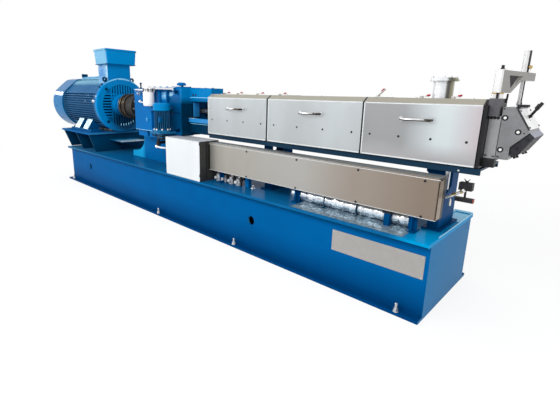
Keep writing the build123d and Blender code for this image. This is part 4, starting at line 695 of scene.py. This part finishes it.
def bell_details():
    bm = bmesh.new()
    for k in range(4):
        group = Matrix.Translation((0, 0, AXIS)) @ Matrix.Rotation(math.pi * k / 2, 4, "X")
        for gap in range(8):
            across = (gap - 3.5) * BAR_PITCH
            low, high = (math.sqrt(radius ** 2 - across ** 2) for radius in (POCKET_INNER, POCKET_OUTER))
            slab(bm, (-1.688, across - 0.0095, low), (-1.687, across + 0.0095, high), turn=group)
    settle("bell_pocket_floors", bm, [cavity_blue], "motor_paint")
    # Painted highlights on the lower tips of the bell's bars.
    tips = []
    for k in range(-1, 5):
        across = k * BAR_PITCH
        low = AXIS - math.sqrt(POCKET_OUTER ** 2 - across ** 2)
        tips.append(((-1.6602, across - 0.006, low + 0.002), (-1.6590, across + 0.006, low + 0.030)))
    blocks("bell_bar_tips", tips, [edge_highlight_blue], "motor_paint")
    # Painted highlight: a crescent glint along the bell's top edge.
    bm = bmesh.new()
    glint = []
    for k in range(33):
        turn = math.radians(42 + 92 * k / 32)
        width = 0.020 * math.sin(math.pi * k / 32) + 0.001
        glint.append([bm.verts.new((-1.6592, radius * math.cos(turn), AXIS + radius * math.sin(turn)))
                      for radius in (0.355, 0.355 - width)])
    thick_sheet(bm, glint, (-0.0009, 0, 0))
    settle("bell_top_glint", bm, [edge_highlight_blue], "motor_paint")


def terminal_details():
    blocks("neck_side_skins", mirrored(((-1.974, 0.158, 1.40), (-1.702, 0.1592, 1.618))), [neck_glare],
           "motor_paint")
    blocks("terminal_lid_gasket", [((-1.9688, -0.2162, 1.7925), (-1.6032, 0.2162, 1.7975))], [hole_dark],
           "motor_paint")
    blocks("terminal_seam", [((-1.961, -0.2035, 1.6255), (-1.611, 0.2035, 1.6305))], [navy_and_shade],
           "motor_paint")


# Coupling: its shelf with a painted reflection, bolts, and painted highlights on its rims

def coupling_details():
    # Painted reflection on the shelf's top, with a painted highlight on its +X edge.
    blocks("shelf_top", [((-1.780, -0.167, 0.6435), (-1.384, 0.167, 0.6465)),
                         ((-1.384, -0.167, 0.6425), (-1.3805, 0.167, 0.6465), 1)], [shelf_blue, edge_highlight_steel],
           "base_paint")
    for name, x in (("coupling_bolts", -1.44), ("coupling_far_bolts", -1.14)):
        bolts(name, ring_spots((x, 0, AXIS), ALONG, 0.120, 8, 0.2), 0.010, 0.010, bolt_steel,
              body="drive_line")
    # Painted highlights: thin rings on the coupling's rims.
    bm = bmesh.new()
    for x in (-1.4795, -1.4425, -1.3795, -1.3425):
        hoop(bm, (x, 0, AXIS), ALONG, 0.1535, 0.0022, steps=48, sides=8)
    settle("coupling_edges", bm, [coupling_rim_glint], "coupling_rubber", body="drive_line")


# Gearbox: bolts, plugs, pipes, tap, filter head, pump

def gear_bolts():
    for name, xs, y, z, radius, height, washer in (
            ("gear_lid_bolts", (-0.42, -0.30, -0.18, -0.06), 0.254, 1.333, 0.013, 0.007, 1.35),
            ("gear_split_bolts", (-0.44, -0.26, -0.12, 0.02), 0.256, 1.117, 0.012, 0.014, 1.35),
            ("gear_foot_bolts", (-0.80, -0.67, -0.56, -0.43), 0.258, 0.862, 0.014, 0.013, 1.5)):
        spots = [((x, side * y, z), UP) for side in (-1, 1) for x in xs]
        bolts(name, spots, radius, height, blue_bolt, washer=washer)
    bolts("input_cover_bolts", ring_spots((-0.878, 0, AXIS), (-1, 0, 0), 0.132, 8), 0.009, 0.008, blue_bolt)
    bolts("breather_lid_screws", [((x, y, 1.345), UP) for x in (-0.30, -0.16) for y in (-0.103, 0.023)],
          0.007, 0.006, bolt_steel)
    bosses = side_spots([(x - 0.008, z + rise) for z in (1.0, 1.188) for x, rise in circle(0.062, 6, 0.4)],
                        0.2365)
    bolts("gear_boss_bolts", bosses, 0.008, 0.007, blue_bolt)


def gear_plugs():
    """Boss covers, dipstick, oil sight, painted edge highlights and the waist's painted glare."""
    cover = solid((0.078, 0), (0.078, 0.010), (0.070, 0.014), (0.044, 0.014), (0.040, 0.008))
    turned("gear_boss_covers", [((-0.008, side * 0.236, z), (0, side, 0), cover, 32)
                                for side in (-1, 1) for z in (1.0, 1.188)], [motor_blue], "gear_paint")
    stick = [(0, 0), (0.016, 0), (0.016, 0.012), (0.008, 0.014), (0.008, 0.050), (0.012, 0.054),
             (0.012, 0.066), (0, 0.070)]
    turned("gear_dipstick", [((-0.80, -0.20, 1.318), UP, stick, 16)], [navy_and_shade], "gear_paint")
    turned("oil_sight_rim", [((-0.565, GEAR_FRONT, 0.985), FRONT,
                              solid((0.022, 0), (0.022, 0.008), (0.015, 0.009)))],
           [blue_bolt], "gear_paint")
    # Painted highlights along the gearbox's foot and upper edges.
    blocks("gear_edge_lines", mirrored(((-0.828, 0.271859, 0.8625), (-0.40, 0.2735, 0.8675)),
                                       ((-0.828, 0.271859, 1.306), (-0.49, 0.2735, 1.310))), [edge_highlight_blue],
           "gear_paint")
    fields = ((-0.375, -0.342, 1.225), (-0.315, -0.208, 1.205), (-0.172, -0.095, 1.245))
    blocks("waist_skins", mirrored(*[((low, 0.236, foot), (high, 0.2375, 1.288))
                                     for low, high, foot in fields]),
           [waist_glare], "gear_paint", bevel=0.001)


def pipes(name, runs, radius, finish, slot):
    """Bent steel tubes with a union nut at each end."""
    nut = solid((radius * 1.9, 0), (radius * 1.9, radius * 2.2), (radius * 1.2, radius * 3))
    bm = bmesh.new()
    for run in runs:
        line = curve_points(run, steps=7)
        tube(bm, line, radius)
        for end, inner in ((line[0], line[2]), (line[-1], line[-3])):
            lathe(bm, end, inner - end, nut, 6)
    settle(name, bm, [finish], slot)


def gear_pipes():
    pipes("filter_feed_pipe", [[(-0.44, -0.285, 1.327), (-0.44, -0.295, 1.325), (-0.36, -0.305, 1.322),
                                (-0.20, -0.300, 1.320), (-0.06, -0.290, 1.318), (0.0, -0.285, 1.318)]],
          0.011, chrome, "handle_chrome")
    pipes("cooler_pipes", [[(-0.70, GEAR_FRONT, 1.302), (-0.70, -0.315, 1.302), (-0.62, -0.345, 1.303),
                            (-0.50, -0.345, 1.303), (-0.46, -0.335, 1.303)],
                           [(-0.69, GEAR_FRONT, 1.182), (-0.69, -0.300, 1.182), (-0.62, -0.325, 1.176),
                            (-0.54, -0.325, 1.172), (-0.50, -0.300, 1.170), (-0.49, GEAR_FRONT, 1.168)]],
          0.008, chrome, "handle_chrome")
    pipes("pump_suction", [[(-0.16, -0.372, 0.846), (-0.24, -0.372, 0.846), (-0.34, -0.345, 0.846),
                            (-0.40, -0.300, 0.846), (-0.40, -0.270, 0.846)]], 0.016, navy_and_shade, "gear_paint")
    pipes("level_pipe", [[(-0.415, -0.262, 0.700), (-0.34, -0.275, 0.700), (-0.28, -0.275, 0.700),
                          (-0.235, -0.240, 0.700), (-0.235, -0.10, 0.700)]], 0.010, white_enamel,
          "filter_enamel")
    nipple = solid((0.015, 0), (0.015, 0.012), (0.011, 0.014), (0.011, 0.03), (0.006, 0.032))
    turned("gear_nipples", [((x, GEAR_FRONT, z), FRONT, nipple, 6)
                            for x, z in ((-0.74, 1.302), (-0.70, 1.262), (-0.66, 1.302))], [bolt_steel],
           "turned_steel")


def oil_tap():
    """Black drain tap on the gearbox sump."""
    bm = bmesh.new()
    lathe(bm, (-0.372, -0.10, 0.745), FRONT, drum(0.016, 0.17), 16)
    lathe(bm, (-0.372, -0.262, 0.715), UP, solid((0.020, 0), (0.024, 0.010), (0.024, 0.042), (0.014, 0.050),
                                                 (0.014, 0.062)))
    slab(bm, (-0.384, -0.268, 0.775), (-0.360, -0.200, 0.782))
    settle("oil_tap", bm, [black_steel], "black_steel", bevel=0.001)


def filter_head():
    bm = bmesh.new()
    for k, (x, y) in enumerate(circle(0.049, 10)):
        slab(bm, (-0.004, -0.004, 1.288), (0.004, 0.004, 1.322), k % 2,
             Matrix.Translation((FILTER[0] + x, FILTER[1] + y, 0)))
    for z, radius, bar, finish in ((1.305, 0.0475, 0.0040, 1), (1.284, 0.0545, 0.0035, 0),
                                   (1.2825, 0.0565, 0.0016, 1)):
        hoop(bm, (*FILTER, z), UP, radius, bar, finish=finish)
    settle("filter_head_clamps", bm, [bolt_steel, black_steel], "turned_steel", bevel=0.001)


def pump_details():
    bolts("pump_flange_bolts", ring_spots((*PUMP, 0.912), UP, 0.076, 8, 0.2), 0.0080, 0.013, pale_bolt)
    blocks("gear_pump_plates", [((-0.163, -0.4115, z), (-0.061, -0.3325, z + 0.012))
                                for z in (0.822, 0.842, 0.862)],
           [black_steel], "black_steel", bevel=0.002)
    bm = bmesh.new()
    for k in range(24):
        at = Matrix.Translation((*PUMP, 0)) @ Matrix.Rotation(2 * math.pi * k / 24, 4, "Z")
        slab(bm, (0.0735, -0.0016, 0.925), (0.0775, 0.0016, 1.096), turn=at)
    settle("pump_fins", bm, [fin_blue], "gear_paint")
    blocks("pump_gland_box", [((-0.058, -0.448, 0.99), (-0.030, -0.420, 1.045))], [gear_blue], "gear_paint",
           bevel=0.003)
    bm = bmesh.new()
    lathe(bm, (*PUMP, 1.18), (0, 0, -1), drum(0.012, 0.004))
    hoop(bm, (*PUMP, 1.104), UP, 0.0855, 0.002, steps=40)
    settle("pump_cap_seam", bm, [navy_and_shade], "gear_paint")


# Lantern: painted edge highlights, window sills and jambs in a lighter blue of painted light, band bolts

def lantern_details():
    # Painted highlights along the lantern's upper and lower edges.
    blocks("lantern_edge_lines", mirrored(((0.104, LANTERN_SIDE, 1.236), (0.412, 0.1765, 1.2405)),
                                          ((0.104, LANTERN_SIDE, 0.980), (0.412, 0.1765, 0.984))),
           [edge_highlight_blue], "gear_paint")
    # The sills and jambs are a lighter blue of painted light; the narrow strip on each sill is a painted
    # highlight.
    blocks("lantern_sills", mirrored(((0.102, 0.150, 0.996), (0.412, 0.196, 1.036)))
           + mirrored(((0.110, 0.150, 1.0335), (0.190, 0.198, 1.0375), 1)), [lit_sill_blue, edge_highlight_steel],
           "gear_paint", bevel=0.001)
    blocks("window_jambs", mirrored(*[((x - 0.006, 0.08, 1.045), (x + 0.006, 0.150, 1.190))
                                      for x in (0.125, 0.389)]),
           [lit_sill_blue], "gear_paint", bevel=0.002)
    bolts("lantern_band_bolts", side_spots([(0.154, 1.262), (0.196, 1.262)], LANTERN_SIDE), 0.0085, 0.004,
          hole_dark)


# Covers, casing top, valves, vent

def cover_details():
    for number, low, high in COVERS:
        body = "cover_%d_leaf" % number
        # Painted highlights along each cover's hems.
        blocks("cover_%d_hem" % number, [((low, HEM_OUT, 0.915), (low + 0.007, HEM_IN, 1.243)),
                                         ((low + 0.004, HEM_OUT, 0.9125), (high - 0.004, HEM_IN, 0.9205)),
                                         ((low + 0.004, HEM_OUT, 1.2385), (high - 0.004, HEM_IN, 1.2445))],
               [edge_highlight_steel], "cover_steel", body=body)
        bm = bmesh.new()
        for k in range(4):
            x = (low + high) / 2 + (high - low) * PROBE_PITCH * (k - 1.5)
            lathe(bm, (x, -0.2192, 1.045), FRONT, drum(0.0105, 0.0006))
            flat_ring(bm, (x, -0.2219, 1.045), FRONT, 0.0052, 0.0074, 0.0006, steps=20)
        settle("cover_%d_probe_plugs" % number, bm, [hole_dark], "cover_steel", body=body)
    rose = [(0.008, 0), (0.0165, 0), (0.0165, 0.003), (0.012, 0.006), (0.0085, 0.006), (0.0085, 0)]
    for number, low, high in COVERS:
        turned("handle_%d_roses" % number, [(((low + high) / 2 + off, HEM_IN, 1.152), FRONT, rose)
                                            for off in (-0.090, 0.090)], [bolt_steel], "handle_chrome",
               body="cover_%d_leaf" % number)


def casing_details():
    top = [((x, -0.078, 1.276), UP) for x in (0.47, 0.80, 1.14, 1.23, 1.60, 1.98, 2.06, 2.30, 2.62)]
    rear = [((x, 0.222, z), (0, 1, 0)) for x in (0.50, 0.90, 1.14, 1.23, 1.60, 1.98, 2.07, 2.40, 2.66)
            for z in (0.93, 1.23)]
    for name, spots in (("casing_top_screws", top), ("casing_rear_screws", rear)):
        bolts(name, spots, 0.006, 0.003, bolt_steel, sides=16)
    blocks("casing_top_seams", [((x - 0.0015, -0.085, 1.2762), (x + 0.0015, 0.220, 1.2775))
                                for x in (1.186, 2.025)],
           [hole_dark], "cover_steel")


def valve_grips():
    """Red sleeves on the water valves' levers, one of them open."""
    grip = [(0, 0), (0.004, 0), (0.0058, 0.003), (0.0058, 0.019), (0.004, 0.023), (0, 0.024)]
    raised = [(0, 0), (0.004, 0), (0.0055, 0.003), (0.0055, 0.024), (0, 0.026)]
    turned("valve_grips", [((x, -0.05, 1.290), (1, 0, 0.2), grip, 14)
                           for x in (0.530, 0.700, 0.963, 1.213, 2.351, 2.530)]
           + [((2.056, -0.05, 1.314), (0.74, 0, 0.67), raised, 14)], [red_grip], "black_steel")


def vent_details():
    bm = bmesh.new()
    for x, y in circle(0.072, 4, math.pi / 4):
        knob(bm, (VENT_X + x, y, 1.388), 0.008, 0.016)
    lathe(bm, (VENT_X, 0, 1.394), UP, solid((0.004, 0), (0.004, 0.028), (0.002, 0.032)), 10)
    settle("vent_bolts", bm, [bolt_steel], "turned_steel")


# Duct, cabinet, and what lies under the duct

def duct_details():
    # Painted highlights on the duct's lid lines.
    blocks("duct_lid_line", [((0.574, -0.3245, 0.832), (2.584, -0.3232, 0.8355)),
                             ((0.574, -0.3242, 0.597), (2.584, -0.3232, 0.600))], [edge_highlight_steel], "duct_steel")
    screws = [((x, -0.3235, z), FRONT) for x in (1.06, 1.58, 2.08, 2.50) for z in (0.818, 0.606)]
    bolts("duct_screws", screws, 0.0065, 0.0022, hole_dark, sides=16, washer=1.2,
          washer_height=0.0008)
    # Painted shade: a warm brown sheet on the duct's end.
    blocks("duct_end_shade", [((2.5815, -0.318, 0.602), (2.5832, -0.262, 0.829))], [duct_end_shade_steel], "duct_steel")


def cabinet_details():
    # Painted highlights along the cabinet's hems.
    blocks("cabinet_hem", [((low, -0.4186, foot), (high, -0.4176, top)) for low, foot, high, top in (
        (0.012, 0.487, 0.5545, 0.493), (0.012, 0.849, 0.5545, 0.8555),
        (0.012, 0.49, 0.018, 0.853), (0.5475, 0.49, 0.5545, 0.853))], [edge_highlight_steel], "cover_steel")
    turned("cabinet_hinges", [((0.552, -0.4165, z), UP, drum(0.0045, 0.024), 12) for z in (0.823, 0.533)],
           [black_steel], "black_steel")
    blocks("cabinet_side_seams", [((0.554, low, 0.500), (0.5562, high, 0.842))
                                  for low, high in ((-0.345, -0.335), (-0.262, -0.256))], [hole_dark],
           "black_steel")


def water_manifold():
    """Solenoid valves with coils, drain hoses and their blue post, under the duct."""
    pot = solid((0.026, 0), (0.030, 0.012), (0.030, 0.034), (0.022, 0.046), (0.022, 0.062), (0.014, 0.066))
    cap = solid((0.015, 0), (0.015, 0.018), (0.010, 0.022))
    bodies, stems = [], []
    for x in (0.61, 0.70, 0.79, 0.88):
        bodies += [((x, -0.235, DECK), UP, pot, 18), ((x, -0.262, 0.516), (0, -1, 0.2), cap)]
        stems += [((x + 0.045, -0.248, DECK), UP, drum(0.010, 0.109), 14),
                  ((x + 0.045, -0.248, 0.53), UP, [(0.010, 0), (0.016, 0), (0.016, 0.024), (0.010, 0.024)],
                   14)]
    turned("manifold_bodies", bodies, [clear_pot], "filter_enamel")
    turned("manifold_stems", stems, [black_steel], "black_steel")
    pipes("manifold_pipe", [[(0.575, -0.225, 0.560), (0.66, -0.225, 0.556), (0.78, -0.225, 0.556),
                             (0.90, -0.225, 0.556), (0.955, -0.225, 0.556)]], 0.009, chrome, "handle_chrome")
    blocks("manifold_post", [((0.964, -0.240, DECK), (1.006, -0.200, 0.595))], [gear_blue], "base_paint",
           bevel=0.003)
    bolts("manifold_anchor", [((1.05, -0.225, DECK), UP)], 0.013, 0.022, bolt_steel,
          washer=1.7, washer_height=0.004)


def under_duct_pipes():
    """The foil-wrapped return pipe on its saddles, the loose wrap on the deck and the duct's prop."""
    random.seed(5)
    bm = bmesh.new()
    count, sides = 90, 28
    rings = []
    for k in range(count + 1):
        x = 1.50 + 0.92 * k / count
        ring = []
        for across, rise in circle(1, sides):
            swell = 0.047 + 0.0026 * math.sin(k * 0.9) + random.uniform(-0.0022, 0.0022)
            ring.append(bm.verts.new((x, FOIL_Y + swell * across, FOIL_Z + swell * rise)))
        rings.append(ring)
    skin(bm, rings)
    for end in (rings[0], rings[-1]):
        bm.faces.new(end)
    settle("foil_pipe", bm, [foil], "turned_steel")
    bm = bmesh.new()
    for x in (1.80, 2.057):
        slab(bm, (x - 0.006, -0.285, DECK), (x + 0.006, -0.165, 0.494))
        hoop(bm, (x, FOIL_Y, FOIL_Z), ALONG, 0.050, 0.004, steps=32)
        slab(bm, (x - 0.004, -0.219, 0.586), (x + 0.004, -0.211, 0.595))
    settle("foil_pipe_saddles", bm, [navy_and_shade], "base_paint")
    bm = bmesh.new()
    count, across = 64, 10
    grid = [[bm.verts.new((1.60 + 0.84 * k / count, -0.240 - 0.165 * j / across,
                           0.4875 + random.uniform(0, 0.009) * (j < across) * (0 < k < count)))
             for j in range(across + 1)] for k in range(count + 1)]
    thick_sheet(bm, grid, (0, 0, -0.0012))
    settle("wrap_on_deck", bm, [dull_foil], "turned_steel")
    blocks("duct_prop", [((2.270, -0.300, DECK), (2.306, -0.262, 0.5945)),
                         ((2.262, -0.304, 0.572), (2.314, -0.268, 0.5935), 1)], [support_blue, black_steel],
           "base_paint", bevel=0.002)


# Die end: bolts, clamp plate, arm, drain cock

def die_bolts():
    wells = side_spots([(2.803, 1.183), (2.870, 1.114), (2.805, 1.017)], DIE_SIDE)
    bm = bmesh.new()
    for place, way in wells:
        flat_ring(bm, place, way, 0.0075, 0.0150, 0.0012, steps=32)
    settle("die_bolt_wells", bm, [hole_dark], "black_steel")
    bolts("die_socket_bolts", wells, 0.0078, 0.0008, pale_bolt, sides=24, washer=0.9,
          washer_height=0.0002)
    small = side_spots([(2.896, 1.110), (2.794, 1.229), (2.738, 0.980), (2.744, 0.980), (2.774, 0.978),
                        (2.779, 0.978), (2.796, 0.978), (2.801, 0.978)], DIE_SIDE)
    bolts("die_small_screws", small, 0.0034, 0.0008, hole_dark, sides=16, washer=1.1,
          washer_height=0.0002)
    crown = [((x, -DIE_SIDE, 1.181), FRONT) for x in (2.741, 2.756, 2.772)]
    bolts("changer_crown_bolts", crown, 0.0062, 0.006, black_steel)
    blocks("die_seam", [((2.7855, -0.1628, 0.968), (2.7885, -0.1618, 1.188))], [hole_dark], "black_steel")
    lower = [((x, y, z), (0.5, 0, -0.87)) for y in (-0.12, 0.12) for x, z in ((2.870, 1.000), (2.858, 0.994))]
    bolts("lower_block_tips", lower, 0.007, 0.022, black_steel)
    bolts("lower_block_screws", side_spots([(2.916, 1.078), (2.872, 1.030)], 0.150), 0.0065, 0.003, hole_dark)


def arm_window():
    """A dark sheet on the arm's die side: painted shade that widens the mouth of its three-cornered window."""
    face = Matrix(((0.978, 0.208, 0, 2.797), (-0.208, 0.978, 0, -0.020), (0, 0, 1, 1.380), (0, 0, 0, 1)))
    bm = bmesh.new()
    low, high = ([bm.verts.new(face @ Vector((out, y, z))) for y, z in ((-0.082, 0.019), (0.022, 0.020),
                                                                        (-0.052, -0.044))]
                 for out in (-0.0004, 0.0006))
    skin(bm, [low, high])
    for end in (low, high):
        bm.faces.new(end)
    settle("arm_window_shade", bm, [hole_dark], "black_steel", body="arm")


def clamp_spots(places):
    """Spots on the clamp plate at (along its slope, across its width) places."""
    centre, down, out = Vector((2.8868, 0, 1.1797)), Vector((0.53, 0, -0.848)), (0.848, 0, 0.53)
    return [(centre + down * along + Vector((0, across, 0)), out) for along, across in places]


def clamp_details():
    corners = [(along, across) for along in (-0.048, 0.048) for across in (-0.138, 0.138)]
    bolts("clamp_screws", clamp_spots(corners), 0.0055, 0.0025, black_steel, washer=1.15,
          washer_height=0.0006)
    latch = ((-0.002, -0.030), (0.010, -0.018), (-0.012, 0.020))
    bolts("clamp_latch_screws", clamp_spots(latch), 0.0030, 0.0010, black_steel, sides=16,
          washer=1.1, washer_height=0.0004)
    blocks("nose_latch", [((2.838, -0.118, 1.2380), (2.886, -0.060, 1.2520)),
                          ((2.846, -0.040, 1.2380), (2.862, 0.010, 1.2460))], [black_steel], "black_steel",
           bevel=0.002)
    bm = bmesh.new()
    lever = Vector((0.45, 0.32, 0.83)).normalized()
    grip = Vector((2.9035, 0.000, 1.2330))
    for k in range(7):
        hoop(bm, grip + lever * (0.004 * k), lever, 0.0072, 0.0012, steps=20, sides=6)
    settle("lever_grip_rings", bm, [rubber_black], "black_steel")


def arm_details():
    turned("pivot_washer", [((*ARM_PIVOT, 1.4235), UP, solid((0.021, 0), (0.021, 0.004), (0.016, 0.006)))],
           [pale_bolt], "turned_steel", body="arm")
    turned("pivot_knob", [((*ARM_PIVOT, 1.4290), UP, [(0, 0), (0.010, 0), (0.010, 0.006), (0.007, 0.008),
                                                      (0.007, 0.018), (0.009, 0.020), (0, 0.021)])],
           [black_steel], "black_steel", body="arm")
    pins = ((2.736, -0.166), (2.765, -0.150))
    turned("arm_base_pins", [((*pin, 1.281), UP, drum(0.011, 0.022)) for pin in pins], [chrome],
           "handle_chrome")
    turned("arm_base_rings", [((*pin, 1.303), UP, drum(0.0115, 0.0065)) for pin in pins], [brass],
           "turned_steel")
    turned("arm_stop_pin", [((2.7805, -0.085, 1.260), (0, 0.25, 1), drum(0.005, 0.046), 10)], [black_steel],
           "black_steel")
    turned("sleeve_fitting", [((2.822, 0.116, 1.452), (0.72, -0.69, 0),
                               [(0, 0), (0.007, 0), (0.007, 0.008), (0.010, 0.009), (0.010, 0.014),
                                (0, 0.015)], 6)],
           [brass], "turned_steel", body="arm")
    turned("sleeve_vent", [((2.826, 0.120, 1.428), UP, solid((0.006, 0), (0.006, 0.014), (0.003, 0.018)),
                            12)],
           [pale_bolt], "turned_steel", body="arm")


def drain_details():
    bm = bmesh.new()
    knob(bm, (2.665, -0.130, 0.808), 0.009, 0.010)
    for side in (-1, 1):
        slab(bm, (-0.002, -0.003, 0.0), (0.002, 0.003, 0.017),
             turn=Matrix.Translation((2.665 + side * 0.004, -0.130, 0.816))
             @ Matrix.Rotation(side * 0.75, 4, "Y"))
    settle("drain_wing_nut", bm, [black_steel], "black_steel", bevel=0.0006)
    along = (0.85, 0, 0.525)
    turned("drain_unions", [
        ((2.600, -0.130, 0.724), along, [(0.0075, 0), (0.012, 0), (0.012, 0.020), (0.0075, 0.024)], 6),
        ((2.640, -0.130, 0.748), along, [(0.0075, 0), (0.0125, 0), (0.0125, 0.016), (0.0075, 0.018)], 6)],
        [brass], "turned_steel")
    bm = bmesh.new()
    tube(bm, curve_points([(2.560, -0.130, 0.699), (2.585, -0.1315, 0.712), (2.612, -0.1315, 0.730),
                           (2.650, -0.1315, 0.754)]), 0.0088)
    lathe(bm, (2.592, -0.134, 0.655), UP, [(0, 0), (0.005, 0), (0.0075, 0.010), (0.0065, 0.034),
                                           (0.004, 0.045), (0, 0.046)], 14)
    lathe(bm, (2.668, -0.158, 0.756), (-0.7, 0, 0.7), drum(0.009, 0.020), 14)
    settle("drain_pipe_sleeve", bm, [pale_bolt], "turned_steel")
    blocks("drain_bar_end", [((2.7105, -0.1455, 0.6935), (2.7135, -0.1145, 0.7185))], [red_brown],
           "black_steel")
    blocks("support_strip", [((2.5695, -0.150, 0.752), (2.5715, -0.126, 0.868)),
                             ((2.556, -0.1655, 0.752), (2.5695, -0.1642, 0.868))], [bolt_steel],
           "turned_steel")
    turned("rail_plug", [((2.632, -0.2035, 0.884), FRONT, drum(0.0055, 0.004))], [bolt_steel], "turned_steel")


for build in (base_details, motor_top, motor_bolts, motor_fittings, bell_details, terminal_details,
              coupling_details, gear_bolts, gear_plugs, gear_pipes, oil_tap, filter_head, pump_details,
              lantern_details, cover_details, casing_details, valve_grips, vent_details, duct_details,
              cabinet_details, water_manifold, under_duct_pipes, die_bolts, arm_window, clamp_details,
              arm_details, drain_details, deck_details):
    build()


# Studio: pale floor, plain soft light, and the photograph's camera

def seen_rays(tree):
    """One for a ray that shows the background: straight, mirrored or through glass."""
    path = add(tree, "ShaderNodeLightPath").outputs
    mirrored_ray = combine(tree, "MAXIMUM", path["Is Camera Ray"], path["Is Glossy Ray"])
    return combine(tree, "MAXIMUM", mirrored_ray, path["Is Transmission Ray"])


def outside_base(tree, coords):
    """Zero on the floor under the base, one around it."""
    beyond = [combine(tree, "GREATER_THAN", combine(tree, "ABSOLUTE", measure(tree, coords, axis)), half)
              for axis, half in (("X", DECK_END), ("Y", WEB_SIDE))]
    return combine(tree, "MAXIMUM", *beyond)


def blend_shaders(tree, factor, first, second, output):
    mix = add(tree, "ShaderNodeMixShader", {"Fac": factor, 1: first.outputs[0], 2: second.outputs[0]})
    tree.links.new(mix.outputs[0], tree.nodes[output].inputs["Surface"])


def backdrop(scene):
    """Soft light from all sides, seen as plain white."""
    scene.world = bpy.data.worlds.new("studio")
    scene.world.use_nodes = True
    tree = scene.world.node_tree
    light = tree.nodes["Background"]
    light.inputs["Color"].default_value = (0.95, 0.98, 1.0, 1)
    light.inputs["Strength"].default_value = 0.55
    seen = add(tree, "ShaderNodeBackground", {"Color": (1, 1, 1, 1), "Strength": 1.0})
    blend_shaders(tree, seen_rays(tree), light, seen, "World Output")


def studio_floor(scene):
    """A pale floor that fades to white away from the machine."""
    floor_mat, tree, surface, coords = shader("studio floor")
    surface.inputs["Base Color"].default_value = (0.9, 0.9, 0.9, 1)
    surface.inputs["Roughness"].default_value = 0.8
    glow = add(tree, "ShaderNodeEmission", {"Color": (1, 1, 1, 1)})
    reach = add(tree, "ShaderNodeVectorMath", {0: coords}, operation="LENGTH").outputs["Value"]
    share = combine(tree, "MULTIPLY", remap(tree, reach, 0.84, 1.0, 3.2, 6.0), seen_rays(tree))
    blend_shaders(tree, combine(tree, "MULTIPLY", share, outside_base(tree, coords)), surface, glow,
                  "Material Output")
    bm = bmesh.new()
    bmesh.ops.create_grid(bm, x_segments=1, y_segments=1, size=60)
    mesh = bpy.data.meshes.new("studio_floor")
    bm.to_mesh(mesh)
    bm.free()
    mesh.materials.append(floor_mat)
    floor = bpy.data.objects.new("studio_floor", mesh)
    scene.collection.objects.link(floor)


def lamps(scene):
    for name, place, target, size, power, glossy in (
            ("key", (-2.5, -6.5, 4.6), (0.3, 0, 0.8), (6.0, 3.0), 300, True),
            ("left", (-6.5, -2.6, 1.9), (-1.7, -0.2, 1.4), (3.0, 1.6), 60, False),
            ("cowl strip", (-6.5, -1.23, 2.10), (-3.0, -0.36, 1.24), (0.6, 0.32), 14, True),
            ("gear strip", (-6.5, -4.0, 1.45), (-0.4, -0.24, 1.25), (0.9, 0.5), 13, True),
            ("right", (2.2, -3.4, 3.0), (-1.7, 0, 1.25), (2.4, 1.4), 110, False),
            ("side", (5.2, -1.2, 1.3), (2.4, 0, 0.5), (1.6, 1.4), 34, False),
            ("top", (-0.6, 0.6, 5.5), (-0.6, 0, 0.5), (7.0, 2.5), 80, False),
            ("back", (0, 6.0, 3.0), (0, 0, 0.8), (6.0, 2.5), 90, False)):
        lamp = bpy.data.lights.new(name, "AREA")
        lamp.shape = "RECTANGLE"
        lamp.size, lamp.size_y = size
        lamp.energy = power
        holder = bpy.data.objects.new(name, lamp)
        holder.location = place
        holder.rotation_euler = (Vector(target) - Vector(place)).to_track_quat("-Z", "Y").to_euler()
        holder.visible_glossy = glossy
        scene.collection.objects.link(holder)


def camera(scene):
    """The place, way and lens solved from the photograph's edges."""
    eye = bpy.data.cameras.new("camera")
    eye.lens = 24.115
    eye.sensor_width = 36
    eye.shift_x = 0.04516
    eye.shift_y = -0.02654
    eye.clip_end = 200
    holder = bpy.data.objects.new("camera", eye)
    right = Vector((0.71815, 0.69563, 0.01901))
    over = Vector((-0.17601, 0.15515, 0.97208))
    ahead = Vector((-0.67326, 0.70145, -0.23386))
    place = Matrix((right, over, -ahead)).transposed().to_4x4()
    place.translation = (3.2424, -2.4903, 1.2747)
    holder.matrix_world = place
    scene.collection.objects.link(holder)
    scene.camera = holder


scene = bpy.context.scene
scene.view_settings.view_transform = "Standard"
for set_up in (backdrop, studio_floor, lamps, camera):
    set_up(scene)
